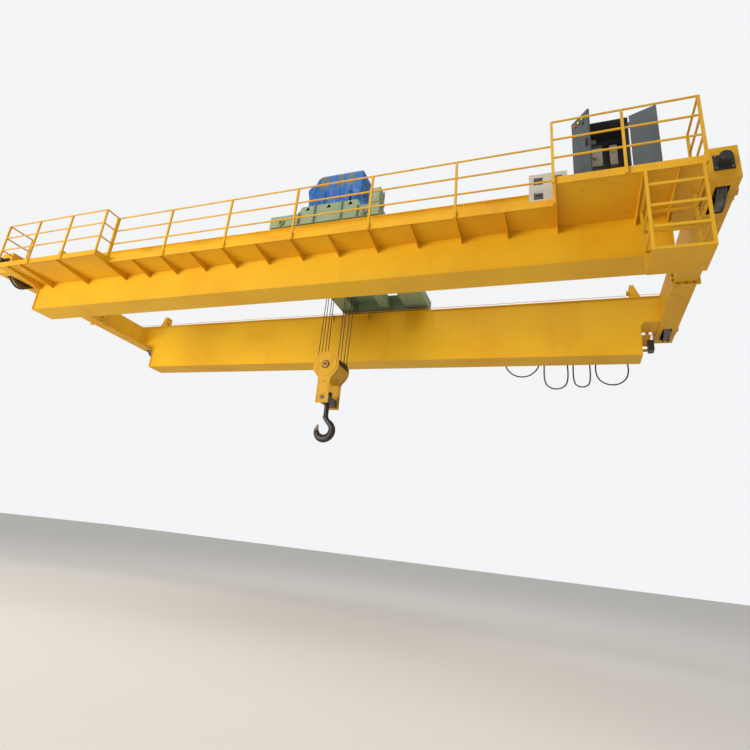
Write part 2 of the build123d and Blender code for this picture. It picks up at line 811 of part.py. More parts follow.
# Cabinet doors, each modelled where it stands open about its hinge line
leaf_width = (cabinet_width - door_gap) / 2
for name, hinge_x, reach, angle in (("left", cabinet_left, 1, -left_door_angle),
                                    ("right", cabinet_right, -1, right_door_angle)):
    turn = math.radians(angle)
    along = Vector(reach * math.cos(turn), reach * math.sin(turn), 0)
    leaf_plane = Plane(origin=(hinge_x, hinge_y, leaf_foot), x_dir=along, z_dir=(0, 0, 1))
    outside = -reach
    with BuildPart() as door:
        with BuildSketch(leaf_plane):
            with Locations((leaf_setback, outside * door_thickness / 2)):
                Rectangle(leaf_width - leaf_setback, door_thickness, align=(Align.MIN, Align.CENTER))
        extrude(amount=leaf_height)
        for level in hinge_levels:
            with BuildSketch(leaf_plane.offset(level - leaf_foot + knuckle_gap)):
                Circle(knuckle_radius)
                with Locations((0, outside * knuckle_radius / 2)):
                    Rectangle(leaf_setback + knuckle_radius, knuckle_radius, align=(Align.MIN, Align.CENTER))
                Circle(hinge_pin_radius + running_clearance, mode=Mode.SUBTRACT)
            extrude(amount=knuckle_height)
        face = Plane(origin=leaf_plane.from_local_coords(Vector(0, outside * door_thickness, 0)),
                     x_dir=along, z_dir=leaf_plane.y_dir * outside)
        handle_at = leaf_plane.from_local_coords(
            Vector(leaf_width - 2 * door_handle_width, outside * door_thickness, door_handle_level))
        with Locations(Plane(origin=handle_at, x_dir=along, z_dir=(0, 0, 1))):
            Box(door_handle_width, door_handle_height, door_handle_length,
                align=(Align.CENTER, Align.MIN if outside > 0 else Align.MAX, Align.MIN))
        if name == "left":
            for n in range(door_lamp_count):
                from_middle = (n - (door_lamp_count - 1) / 2) * door_lamp_pitch
                lamp_at = leaf_plane.from_local_coords(
                    Vector(leaf_width / 2 + from_middle, outside * door_thickness,
                           leaf_height - door_lamp_drop))
                with Locations(Plane(origin=lamp_at, z_dir=face.z_dir)):
                    Cylinder(door_lamp_diameter / 2, door_lamp_length,
                             align=(Align.CENTER, Align.CENTER, Align.MIN))
    door.part.label = f"cabinet_{name}_door"
    export_step(door.part, f"parts/cabinet_{name}_door.step")

# Resistor box: a sheet case with rows of square vents in its front
resistor_x = resistor_left + resistor_width / 2
resistor_back = -web_y - web_inset
vent_pitch_x = resistor_width / resistor_columns
vent_pitch_z = resistor_height / resistor_rows
with BuildPart() as resistor:
    with Locations((resistor_x, resistor_back, floor_top)):
        Box(resistor_width, resistor_depth, resistor_height, align=(Align.CENTER, Align.MAX, Align.MIN))
    with Locations((resistor_x, resistor_back - resistor_sheet, floor_top + resistor_sheet)):
        Box(resistor_width - 2 * resistor_sheet, resistor_depth - 2 * resistor_sheet,
            resistor_height - 2 * resistor_sheet, align=(Align.CENTER, Align.MAX, Align.MIN),
            mode=Mode.SUBTRACT)
    with BuildSketch(Plane.XZ.offset(-resistor_back)):
        with Locations((resistor_x, floor_top + resistor_height / 2)):
            with GridLocations(vent_pitch_x, vent_pitch_z, resistor_columns, resistor_rows):
                Rectangle(resistor_vent, resistor_vent)
    extrude(amount=resistor_depth, mode=Mode.SUBTRACT)
resistor.part.label = "resistor_box"
export_step(resistor.part, "parts/resistor_box.step")

# Festoon track: a slotted C rail under the rear walkway, on the brackets' tips
track_y = web_y + track_offset
track_top = deck_level - bracket_tip_drop - track_drop
with BuildPart() as track:
    with BuildSketch(Plane.YZ.offset(track_left)):
        with Locations((track_y, track_top)):
            Rectangle(track_width, track_height, align=(Align.CENTER, Align.MAX))
        with Locations((track_y, track_top - track_wall)):
            Rectangle(track_width - 2 * track_wall, track_height - 2 * track_wall,
                      align=(Align.CENTER, Align.MAX), mode=Mode.SUBTRACT)
        with Locations((track_y, track_top - track_height)):
            Rectangle(track_slot, 3 * track_wall, mode=Mode.SUBTRACT)
    extrude(amount=track_right - track_left)
    for x in [x for x in rear_places if track_left < x < track_right]:
        with BuildSketch(Plane.YZ.offset(x + bracket_plate)):
            with Locations((track_y, track_top)):
                Rectangle(track_width, deck_level - track_top, align=(Align.CENTER, Align.MIN))
        extrude(amount=bracket_plate)
track.part.label = "festoon_track"
export_step(track.part, "parts/festoon_track.step")

# Festoon carriers: a runner in the track, a neck through its slot and a round saddle
saddle_top = track_top - track_height - carrier_height
with BuildPart() as carriers:
    for x in carrier_places:
        with Locations((x, track_y, track_top - track_height + track_wall)):
            Box(carrier_length, track_width - 3 * track_wall, track_wall,
                align=(Align.CENTER, Align.CENTER, Align.MIN))
        with Locations((x, track_y, track_top - track_height + track_wall)):
            Box(carrier_length / 2, carrier_neck, carrier_height + 2 * track_wall,
                align=(Align.CENTER, Align.CENTER, Align.MAX))
        with BuildSketch(Plane.XZ.offset(-track_y - saddle_width / 2)):
            with Locations((x, saddle_top - saddle_diameter / 2)):
                Circle(saddle_diameter / 2)
            with Locations((x, saddle_top - saddle_diameter / 2)):
                Rectangle(saddle_diameter, saddle_diameter, align=(Align.CENTER, Align.MAX),
                          mode=Mode.SUBTRACT)
        extrude(amount=saddle_width)
carriers.part.label = "festoon_carriers"
export_step(carriers.part, "parts/festoon_carriers.step")


# Festoon loops: one cable between each pair of carriers, hanging in a deep U
def loop_route(left_x, right_x, lowest):
    """Points of one hanging loop: two near-upright legs round half an octagon."""
    start = saddle_top - saddle_diameter / 2
    mid = (left_x + right_x) / 2
    half = (right_x - left_x) / 2 - loop_end_offset
    centre = -lowest + half
    eighth = half * math.tan(math.radians(loop_corner_turn))
    neck = -half * loop_waist
    legs = [(neck, start), (neck, start - loop_stub), (-half, centre - eighth), (-eighth, centre - half)]
    legs += [(-x, z) for x, z in reversed(legs)]
    return [(mid + x, track_y, z) for x, z in legs]


def corner_radii(points):
    """The largest arc at each corner that its two runs leave room for."""
    radii = []
    for a, b, c in zip(points, points[1:], points[2:]):
        run_in = Vector(*b) - Vector(*a)
        run_out = Vector(*c) - Vector(*b)
        turn = math.radians(run_in.get_angle(run_out))
        radii.append(arc_share * min(run_in.length, run_out.length) / math.tan(turn / 2))
    return radii


for n, drop in enumerate(loop_drops):
    points = loop_route(carrier_places[n], carrier_places[n + 1], drop)
    radii = corner_radii(points)
    print(f"festoon loop {n + 1} smallest radius {min(radii):.0f} mm")
    with BuildPart() as loop:
        with BuildLine() as route:
            FilletPolyline(*points, radius=radii)
        with BuildSketch(route.wire() ^ 0):
            Circle(cable_diameter / 2)
        sweep()
    ideal = route.wire().length * math.pi * cable_diameter ** 2 / 4
    print(f"festoon loop {n + 1} volume ratio {loop.part.volume / ideal:.3f}")
    loop.part.label = f"festoon_loop_{n + 1}"
    export_step(loop.part, f"parts/festoon_loop_{n + 1}.step")

# Junction box at the festoon's fixed end, hung on the last carrier's track end
with BuildPart() as junction:
    with Locations((track_right, track_y, deck_level)):
        Box(junction_box_depth, junction_box_size, junction_box_size,
            align=(Align.MIN, Align.CENTER, Align.MAX))
junction.part.label = "festoon_junction_box"
export_step(junction.part, "parts/festoon_junction_box.step")

# Trolley side beams: box beams over the rails, raised in the middle
half_trolley = trolley_length / 2
crown = crown_length / 2
bearing_places = (trolley_x - trolley_wheelbase / 2, trolley_x + trolley_wheelbase / 2)


def side_beam_outline(inset):
    """Side view of a trolley side beam on the XZ plane, shrunk by an inset."""
    with BuildSketch() as outline:
        with BuildLine():
            Polyline((trolley_x - half_trolley + inset, side_beam_bottom + inset),
                     (trolley_x + half_trolley - inset, side_beam_bottom + inset),
                     (trolley_x + half_trolley - inset, side_beam_top - inset),
                     (crown_x + crown + crown_slope - inset, side_beam_top - inset),
                     (crown_x + crown - inset, side_beam_crown - inset),
                     (crown_x - crown + inset, side_beam_crown - inset),
                     (crown_x - crown - crown_slope + inset, side_beam_top - inset),
                     (trolley_x - half_trolley + inset, side_beam_top - inset),
                     close=True)
        make_face()
    return outline.sketch_local


trolley_bore = trolley_axle_diameter / 2 + running_clearance
with BuildPart() as side_beams:
    for name, side in sides:
        outside = side * (girder_y + side_beam_width / 2)
        with BuildSketch(Plane.XZ.offset(-side * girder_y)):
            add(side_beam_outline(0))
        extrude(amount=side_beam_width / 2, both=True)
        with BuildSketch(Plane.XZ.offset(-side * girder_y)):
            add(side_beam_outline(side_beam_plate))
        extrude(amount=side_beam_width / 2 - side_beam_plate, both=True, mode=Mode.SUBTRACT)
        with BuildSketch(Plane.XY.offset(side_beam_bottom)):
            with Locations(*[(x, side * girder_y) for x in bearing_places]):
                Rectangle(trolley_wheel_pit, wheel_pit_width)
        extrude(amount=side_beam_plate, mode=Mode.SUBTRACT)
        for x in bearing_places:
            for face in (-1, 1):
                seat = Plane(origin=(x, side * girder_y + face * side_beam_width / 2, trolley_axle_level),
                             z_dir=(0, face, 0))
                with BuildSketch(seat):
                    Circle(trolley_bearing_diameter / 2)
                extrude(amount=trolley_bearing_length)
        with BuildSketch(Plane.XZ.offset(-side * girder_y)):
            with Locations(*[(x, trolley_axle_level) for x in bearing_places]):
                Circle(trolley_bore)
        extrude(amount=side_beam_width, both=True, mode=Mode.SUBTRACT)
        with BuildSketch(Plane.XZ.offset(-outside)):
            with Locations(*[(crown_x + place, side_beam_crown - crown_hole_drop)
                             for place in crown_hole_places]):
                RegularPolygon(crown_hole_radius, side_count=3, rotation=90)
            with Locations(*[(x, trolley_axle_level + trolley_bearing_diameter)
                             for x in (trolley_x - half_trolley + wing_slot_inset,
                                       trolley_x + half_trolley - wing_slot_inset)]):
                Rectangle(wing_slot_length, wing_slot_height, align=(Align.CENTER, Align.MAX))
        extrude(amount=side * side_beam_plate, mode=Mode.SUBTRACT)
        for place in side_rib_places:
            height = side_beam_crown if abs(place) < crown else side_beam_top
            with Locations((crown_x + place, outside, side_beam_bottom)):
                Box(side_rib_plate, side_rib_depth, height - side_beam_bottom,
                    align=(Align.CENTER, Align.MIN if side > 0 else Align.MAX, Align.MIN))
side_beams.part.label = "trolley_side_beams"
export_step(side_beams.part, "parts/trolley_side_beams.step")

# Trolley deck: one plate over three box cross beams, open over the hook and beside it
deck_half = girder_y - side_beam_width / 2
beam_top = deck_top - trolley_deck_plate
opening_left = hook_x - opening_half_length
opening_right = hook_x + opening_half_length
trolley_left = trolley_x - half_trolley
trolley_right = trolley_x + half_trolley
cross_beams = (
    (trolley_left, opening_left),
    (opening_right, opening_right + cross_beam_width),
    (trolley_right - end_beam_width, trolley_right),
)
window_left = opening_right + cross_beam_width
window_right = trolley_right - end_beam_width
with BuildPart() as trolley_deck:
    with BuildSketch(Plane.XY.offset(beam_top)):
        with Locations((trolley_x, 0)):
            Rectangle(trolley_length, 2 * deck_half)
        with Locations((hook_x, 0)):
            Rectangle(2 * opening_half_length, 2 * opening_half_width, mode=Mode.SUBTRACT)
        with Locations(((window_left + window_right) / 2, deck_window_y)):
            Rectangle(window_right - window_left, deck_window_width, mode=Mode.SUBTRACT)
    extrude(amount=trolley_deck_plate)
    with BuildSketch(Plane.XZ.offset(deck_half)):
        for left, right in cross_beams:
            with Locations(((left + right) / 2, beam_top)):
                Rectangle(right - left, cross_beam_depth, align=(Align.CENTER, Align.MAX))
            with Locations(((left + right) / 2, beam_top)):
                Rectangle(right - left - 2 * cross_beam_plate, cross_beam_depth - cross_beam_plate,
                          align=(Align.CENTER, Align.MAX), mode=Mode.SUBTRACT)
    extrude(amount=-2 * deck_half)
    for y in (-opening_half_width, opening_half_width):
        with Locations((hook_x, y, beam_top)):
            Box(2 * opening_half_length, cross_beam_plate, cross_beam_depth,
                align=(Align.CENTER, Align.MAX if y < 0 else Align.MIN, Align.MAX))
trolley_deck.part.label = "trolley_deck"
export_step(trolley_deck.part, "parts/trolley_deck.step")


# Trolley wheels: a driven pair on a cross shaft, and a pair that runs free
def trolley_wheel_profile(centre_y, outer_sign, shaft_reach):
    """Half section of one trolley wheel in the plane of its axle, turned by revolve."""
    half = wheel_tread_width / 2 + wheel_flange_thickness
    rim = trolley_wheel_radius + wheel_flange_thickness
    stub = side_beam_width / 2 + trolley_bearing_length + axle_end_projection
    near = centre_y + outer_sign * stub
    far = centre_y - outer_sign * shaft_reach
    axle = trolley_axle_diameter / 2
    hub = trolley_wheel_hub / 2
    hollow = trolley_wheel_radius - trolley_wheel_rim
    tread = wheel_tread_width / 2
    web = trolley_wheel_web / 2
    outer_half = [(half, axle), (half, hub), (web, hub), (web, hollow), (half, hollow),
                  (half, rim), (tread, rim), (tread, trolley_wheel_radius)]
    inner_half = [(-across, radius) for across, radius in reversed(outer_half)]
    turned = [(centre_y + outer_sign * across, radius) for across, radius in outer_half + inner_half]
    return [(near, 0), (near, axle), *turned, (far, axle), (far, 0)]


stub_reach = side_beam_width / 2 + trolley_bearing_length + axle_end_projection
for name, x in (("idle", bearing_places[0]), ("drive", bearing_places[1])):
    section = Plane(origin=(x, 0, trolley_axle_level), x_dir=(0, 1, 0), z_dir=(1, 0, 0))
    turning = Axis((x, 0, trolley_axle_level), (0, 1, 0))
    with BuildPart() as pair:
        for side_name, side in sides:
            with BuildSketch(section):
                with BuildLine():
                    Polyline(*trolley_wheel_profile(side * girder_y, side, stub_reach), close=True)
                make_face()
            revolve(axis=turning)
        if name == "drive":
            with BuildSketch(Plane(origin=(x, 0, trolley_axle_level), z_dir=(0, 1, 0))):
                Circle(cross_shaft_diameter / 2)
            extrude(amount=girder_y - stub_reach - weld_gap, both=True)
    pair.part.label = f"trolley_{name}_wheels"
    export_step(pair.part, f"parts/trolley_{name}_wheels.step")

# Drum: a grooved shell with end rims and a through shaft, beside the hook's opening
drum_x = hook_x + 2 * sheave_pitch_radius
drum_level = deck_top + drum_rise
drum_radius = sheave_pitch_radius - rope_diameter / 2
drum_axis = Axis((drum_x, 0, drum_level), (0, 1, 0))
drum_end = drum_start + drum_length
case_back = drum_start - pedestal_thickness / 2
case_front = case_back - hoist_case_thickness
with BuildPart() as drum:
    with BuildSketch(Plane(origin=(drum_x, 0, drum_level), x_dir=(0, 1, 0), z_dir=(1, 0, 0))):
        with Locations((drum_start, drum_radius - drum_shell)):
            Rectangle(drum_length, drum_shell, align=(Align.MIN, Align.MIN))
        with Locations((drum_start, 0), (drum_end - drum_rim_width, 0)):
            Rectangle(drum_rim_width, drum_radius + drum_rim_height, align=(Align.MIN, Align.MIN))
        with Locations((case_back - drum_rim_width, 0)):
            Rectangle(drum_length + 2 * pedestal_thickness + drum_rim_width, drum_shaft_diameter / 2,
                      align=(Align.MIN, Align.MIN))
        middle = drum_start + drum_length / 2
        half_grooves = drum_groove_count // 2
        for hand in (-1, 1):
            for n in range(half_grooves):
                place = middle + hand * (drum_groove_pitch * (n + 1) + sheave_pitch)
                with Locations((place, drum_radius)):
                    Circle(drum_groove_depth, mode=Mode.SUBTRACT)
    revolve(axis=drum_axis)
drum.part.label = "hoist_drum"
export_step(drum.part, "parts/hoist_drum.step")

# Pedestal bearing that carries the drum's free end
shaft_bore = drum_shaft_diameter / 2 + running_clearance
with BuildPart() as pedestal:
    with BuildSketch(Plane.XZ.offset(-drum_end - pedestal_gap)):
        with BuildLine():
            Polyline((drum_x - pedestal_width / 2, deck_top), (drum_x + pedestal_width / 2, deck_top),
                     (drum_x + drum_shaft_diameter, drum_level), (drum_x - drum_shaft_diameter, drum_level),
                     close=True)
        make_face()
        with Locations((drum_x, drum_level)):
            Circle(drum_shaft_diameter)
            Circle(shaft_bore, mode=Mode.SUBTRACT)
    extrude(amount=-pedestal_thickness)
pedestal.part.label = "drum_pedestal"
export_step(pedestal.part, "parts/drum_pedestal.step")

# Hoist drive: a gearcase on the drum shaft and a motor on the girder's side of it
motor_level = deck_top + hoist_motor_rise
hoist_case_left = drum_x - hoist_case_left_reach
hoist_case_right = drum_x + hoist_case_right_reach
hoist_motor_x = drum_x - hoist_motor_offset
with BuildPart() as hoist_drive:
    with BuildSketch(Plane.XZ.offset(-case_back)):
        with BuildLine():
            Polyline((hoist_case_left, deck_top), (hoist_case_right, deck_top),
                     (hoist_case_right, deck_top + hoist_case_height),
                     (hoist_case_left, deck_top + hoist_case_height), close=True)
        make_face()
        fillet(vertices().filter_by(lambda v: v.Y > deck_top + hoist_case_height / 2), hoist_case_round)
        with Locations((drum_x, drum_level)):
            Circle(shaft_bore, mode=Mode.SUBTRACT)
    extrude(amount=hoist_case_thickness)
    with BuildSketch(Plane.XZ.offset(-case_front)):
        with Locations((hoist_motor_x, motor_level)):
            Circle(hoist_motor_diameter / 2)
        with Locations((hoist_motor_x, deck_top)):
            Rectangle(motor_stand_width, motor_level - deck_top, align=(Align.CENTER, Align.MIN))
    extrude(amount=hoist_motor_length)
    with BuildSketch(Plane.XZ.offset(-case_back)):
        with Locations(((hoist_case_left + hoist_case_right) / 2, drum_level)):
            Rectangle(hoist_case_right - hoist_case_left + 2 * split_flange_reach, split_flange_depth)
        with Locations((drum_x, drum_level)):
            Circle(shaft_bore, mode=Mode.SUBTRACT)
    extrude(amount=hoist_case_thickness + split_flange_reach)
hoist_drive.part.label = "hoist_drive"
export_step(hoist_drive.part, "parts/hoist_drive.step")


# Sheaves: a rim with a rope groove, a web and a hub
def sheave_section(y):
    """Half section of one sheave about the Y axis, centred on a given place."""
    groove = rope_diameter / 2 + groove_clearance
    flare = sheave_rim_radius - sheave_pitch_radius
    mouth = groove + flare * math.tan(math.radians(groove_flare))
    with BuildSketch() as section:
        with Locations((y, sheave_bore_radius + running_clearance)):
            Rectangle(sheave_rim_width, sheave_hub_radius - sheave_bore_radius,
                      align=(Align.CENTER, Align.MIN))
            Rectangle(sheave_web, sheave_rim_radius - sheave_bore_radius - sheave_rim_depth / 2,
                      align=(Align.CENTER, Align.MIN))
        with Locations((y, sheave_rim_radius)):
            Rectangle(sheave_rim_width, sheave_rim_depth, align=(Align.CENTER, Align.MAX))
        with Locations((y, sheave_pitch_radius)):
            Circle(groove, mode=Mode.SUBTRACT)
            Polygon((-groove, 0), (groove, 0), (mouth, flare), (-mouth, flare),
                    align=(Align.CENTER, Align.MIN), mode=Mode.SUBTRACT)
    return section.sketch_local


upper_places = (-2 * sheave_pitch, 2 * sheave_pitch)
with BuildPart() as upper_sheaves:
    with BuildSketch(Plane(origin=(hook_x, 0, upper_sheave_level), x_dir=(0, 1, 0), z_dir=(1, 0, 0))):
        for y in upper_places:
            add(sheave_section(y))
        with Locations((0, 0)):
            Rectangle(2 * opening_half_width, sheave_bore_radius + running_clearance,
                      align=(Align.CENTER, Align.MIN))
    revolve(axis=Axis((hook_x, 0, upper_sheave_level), (0, 1, 0)))
    equalizer_x = hook_x - sheave_pitch_radius
    with BuildSketch(Plane(origin=(equalizer_x, 0, equalizer_level), x_dir=(0, 1, 0), z_dir=(1, 0, 0))):
        Circle(equalizer_radius - rope_diameter / 2)
    extrude(amount=rope_diameter, both=True)
    with Locations((opening_left, 0, equalizer_level)):
        Box(equalizer_x - opening_left, equalizer_radius, equalizer_radius,
            align=(Align.MIN, Align.CENTER, Align.CENTER))
upper_sheaves.part.label = "upper_sheaves"
export_step(upper_sheaves.part, "parts/upper_sheaves.step")

# Tarpaulin over the hoist drive, as a plain hollow cover with a sloped corner
tarp_left = hoist_case_left - tarp_left_gap
tarp_right = hoist_case_right + tarp_right_gap
tarp_back = case_back + tarp_back_reach
tarp_front = case_front - hoist_motor_length - tarp_front_gap
tarp_hem = deck_top + tarp_hem_rise
tarp_top = deck_top + hoist_case_height + tarp_clearance + tarp_sheet
with BuildPart() as tarp:
    for inset, mode in ((0, Mode.ADD), (tarp_sheet, Mode.SUBTRACT)):
        with BuildSketch(Plane.XZ.offset(-tarp_back + inset)):
            with BuildLine():
                Polyline((tarp_left + inset, tarp_hem), (tarp_right - inset, tarp_hem),
                         (tarp_right - inset, tarp_top - inset),
                         (tarp_left + tarp_slope + inset / 2, tarp_top - inset),
                         (tarp_left + inset, tarp_top - tarp_slope - inset / 2), close=True)
            make_face()
        extrude(amount=tarp_back - tarp_front - 2 * inset, mode=mode)
    with Locations((drum_x, tarp_back, tarp_hem)):
        Box(drum_shaft_diameter + 2 * tarp_shaft_gap, 2 * tarp_sheet, drum_level + tarp_shaft_gap - tarp_hem,
            align=(Align.CENTER, Align.CENTER, Align.MIN), mode=Mode.SUBTRACT)
tarp.part.label = "tarpaulin"
export_step(tarp.part, "parts/tarpaulin.step")

# Terminal box that stands on the front side beam's right end
with BuildPart() as terminal:
    with Locations((trolley_x + half_trolley, -girder_y, side_beam_top)):
        Box(terminal_box_length, terminal_box_width, terminal_box_height,
            align=(Align.MAX, Align.CENTER, Align.MIN))
terminal.part.label = "trolley_terminal_box"
export_step(terminal.part, "parts/trolley_terminal_box.step")

# Hook block sheaves, four on one axle
sheave_places = (-3 * sheave_pitch, -sheave_pitch, sheave_pitch, 3 * sheave_pitch)
with BuildPart() as lower_sheaves:
    with BuildSketch(Plane(origin=(hook_x, 0, block_axis_level), x_dir=(0, 1, 0), z_dir=(1, 0, 0))):
        for y in sheave_places:
            add(sheave_section(y))
        for a, b in zip(sheave_places, sheave_places[1:]):
            with Locations(((a + b) / 2, sheave_bore_radius + running_clearance)):
                Rectangle(b - a, sheave_spacer, align=(Align.CENTER, Align.MIN))
    revolve(axis=Axis((hook_x, 0, block_axis_level), (0, 1, 0)))
lower_sheaves.part.label = "lower_sheaves"
export_step(lower_sheaves.part, "parts/lower_sheaves.step")

# Hook block frame: two cheeks with round covers, the sheave axle and the rope guard
cheek_inner = cheek_spacing / 2 - cheek_plate
trunnion_level = block_axis_level - crosshead_drop
with BuildPart() as block:
    for face in (-1, 1):
        with BuildSketch(Plane.XZ.offset(-face * cheek_spacing / 2)) as cheek:
            with Locations((hook_x, block_axis_level)):
                Circle(cheek_radius)
                Rectangle(cheek_width, crosshead_drop + cheek_tail, align=(Align.CENTER, Align.MAX))
            shoulders = cheek.vertices().filter_by(
                lambda v: abs(abs(v.X - hook_x) - cheek_width / 2) < pick_slack
                and v.Y > trunnion_level)
            fillet(shoulders, cheek_fillet)
            with Locations((hook_x, trunnion_level)):
                Circle(trunnion_radius + running_clearance, mode=Mode.SUBTRACT)
        extrude(amount=face * cheek_plate)
        with BuildSketch(Plane.XZ.offset(-face * cheek_spacing / 2)):
            with Locations((hook_x, block_axis_level)):
                Circle(cheek_cover_radius)
        extrude(amount=-face * cheek_cover_height)
        with BuildSketch(Plane.XZ.offset(-face * (cheek_spacing / 2 + cheek_cover_height))):
            with Locations((hook_x, block_axis_level)):
                Circle(axle_nut_radius)
        extrude(amount=-face * axle_nut_height)
    with BuildSketch(Plane.XZ):
        with Locations((hook_x, block_axis_level)):
            Circle(sheave_bore_radius)
    extrude(amount=cheek_inner, both=True)
    with BuildSketch(Plane.XZ):
        with Locations((hook_x, block_axis_level)):
            Circle(cheek_radius)
            Circle(cheek_radius - guard_sheet, mode=Mode.SUBTRACT)
            Rectangle(2 * cheek_radius, cheek_radius, align=(Align.CENTER, Align.MIN), mode=Mode.SUBTRACT)
    extrude(amount=cheek_inner, both=True)
block.part.label = "hook_block_frame"
export_step(block.part, "parts/hook_block_frame.step")

# Crosshead: a forged block on trunnions, bored for the hook's shank
crosshead_half = cheek_inner - crosshead_gap
with BuildPart() as crosshead:
    with Locations((hook_x, 0, trunnion_level)):
        Box(crosshead_width, 2 * crosshead_half, crosshead_height)
    fillet(crosshead.edges().filter_by(Axis.Z), crosshead_round)
    with BuildSketch(Plane.XZ):
        with Locations((hook_x, trunnion_level)):
            Circle(trunnion_radius)
    extrude(amount=cheek_spacing / 2 + trunnion_end_height, both=True)
    with BuildSketch(Plane.XY.offset(trunnion_level)):
        with Locations((hook_x, 0)):
            Circle(shank_radius + running_clearance)
    extrude(amount=crosshead_height, both=True, mode=Mode.SUBTRACT)
crosshead.part.label = "crosshead"
export_step(crosshead.part, "parts/crosshead.step")

# Hook: shank and nut through the crosshead, then a forged bowl that tapers to its point
bowl_level = trunnion_level - hook_centre_drop
neck_level = trunnion_level - hook_shoulder_drop


def across(x, z, heading):
    """Plane square to the hook's centre line where it passes x, z at a heading."""
    turn = math.radians(heading)
    return Plane(origin=(hook_x + x, 0, bowl_level + z), x_dir=(0, 1, 0),
                 z_dir=(math.cos(turn), 0, math.sin(turn)))


def on_arc(angle, radius):
    """Point at an angle round the bowl, counted from +X."""
    turn = math.radians(angle)
    return radius * math.cos(turn), radius * math.sin(turn)


with BuildPart() as hook:
    with BuildSketch(across(0, neck_level - bowl_level, -90)):
        Circle(hook_neck_radius)
    with BuildSketch(across(hook_shoulder_reach, hook_shoulder_rise, hook_shoulder_heading)):
        Ellipse(hook_neck_radius, hook_shoulder_depth)
    for angle, depth, width in hook_taper:
        with BuildSketch(across(*on_arc(angle, hook_bowl_radius), angle - 90)):
            Ellipse(width * hook_section_width, depth * hook_section_depth)
    point = on_arc(hook_point_angle, hook_point_radius)
    with BuildSketch(across(*point, hook_point_angle - 90 - hook_point_lean)):
        Circle(hook_point_size)
    loft()
    nut_level = trunnion_level + crosshead_height / 2 + nut_gap
    with BuildSketch(Plane.XY.offset(neck_level - hook_neck_lap)):
        with Locations((hook_x, 0)):
            Circle(shank_radius)
    extrude(amount=nut_level + hook_nut_height - neck_level + hook_neck_lap)
    with BuildSketch(Plane.XY.offset(nut_level)):
        with Locations((hook_x, 0)):
            Circle(hook_nut_radius)
    extrude(amount=hook_nut_height)
hook.part.label = "hook"
export_step(hook.part, "parts/hook.step")

# Hoist ropes: eight falls between the block, the drum and the upper sheaves
falls = (
    (1, sheave_places[0], drum_level, sheave_places[0]),
    (-1, sheave_places[0], upper_sheave_level, upper_places[0]),
    (1, sheave_places[1], upper_sheave_level, upper_places[0]),
    (-1, sheave_places[1], equalizer_level, sheave_places[1]),
    (-1, sheave_places[2], equalizer_level, sheave_places[2]),
    (1, sheave_places[2], upper_sheave_level, upper_places[1]),
    (-1, sheave_places[3], upper_sheave_level, upper_places[1]),
    (1, sheave_places[3], drum_level, sheave_places[3]),
)
with BuildPart() as ropes:
    for reach, low_y, top_level, top_y in falls:
        x = hook_x + reach * sheave_pitch_radius
        low = Vector(x, low_y, block_axis_level)
        high = Vector(x, top_y, top_level)
        with BuildSketch(Plane(origin=low, z_dir=(high - low).normalized())):
            Circle(rope_diameter / 2)
        extrude(amount=(high - low).length)
ropes.part.label = "hoist_ropes"
export_step(ropes.part, "parts/hoist_ropes.step")
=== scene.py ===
import bmesh
import bpy
import math
from mathutils import Matrix, Vector, noise


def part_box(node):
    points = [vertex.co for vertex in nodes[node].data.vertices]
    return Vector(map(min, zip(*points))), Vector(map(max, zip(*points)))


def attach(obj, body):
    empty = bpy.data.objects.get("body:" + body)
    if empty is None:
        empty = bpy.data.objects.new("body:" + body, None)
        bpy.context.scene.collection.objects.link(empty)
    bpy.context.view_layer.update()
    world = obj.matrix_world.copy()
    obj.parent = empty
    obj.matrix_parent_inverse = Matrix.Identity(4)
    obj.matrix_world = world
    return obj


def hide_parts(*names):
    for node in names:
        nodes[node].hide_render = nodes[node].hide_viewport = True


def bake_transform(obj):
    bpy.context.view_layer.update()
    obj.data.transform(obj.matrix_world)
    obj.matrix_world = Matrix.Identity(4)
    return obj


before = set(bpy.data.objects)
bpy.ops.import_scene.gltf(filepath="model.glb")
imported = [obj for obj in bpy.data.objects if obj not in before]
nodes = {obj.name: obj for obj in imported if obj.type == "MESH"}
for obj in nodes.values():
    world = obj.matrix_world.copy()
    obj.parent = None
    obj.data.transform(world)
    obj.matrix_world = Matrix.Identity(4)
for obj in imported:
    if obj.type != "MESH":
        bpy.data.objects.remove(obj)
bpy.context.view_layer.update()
scene = bpy.context.scene
scene.view_settings.view_transform = "Standard"

# The crane is seen from the shop floor, below and in front of its right-hand end,
# looking up and to the left. The picture plane leans a little, as in a hand-held shot.
shop_camera = bpy.data.cameras.new("shop_camera")
shop_camera.sensor_width = 36
shop_camera.lens = 25.75
shop_camera.shift_x = 0.0533
shop_camera.shift_y = -0.04
shop_camera.clip_end = 300
yaw, pitch, lean = (math.radians(angle) for angle in (24.705, 20.406, 6.913))
ahead = Vector((-math.sin(yaw) * math.cos(pitch), math.cos(yaw) * math.cos(pitch), math.sin(pitch)))
level = Vector((math.cos(yaw), math.sin(yaw), 0))
rise = level.cross(ahead)
right = level * math.cos(lean) + rise * math.sin(lean)
up = rise * math.cos(lean) - level * math.sin(lean)
eye = bpy.data.objects.new("shop_camera", shop_camera)
eye.matrix_world = Matrix((right, up, -ahead)).transposed().to_4x4()
eye.location = (5.5, -11.11, -5.45)
scene.collection.objects.link(eye)
scene.camera = eye


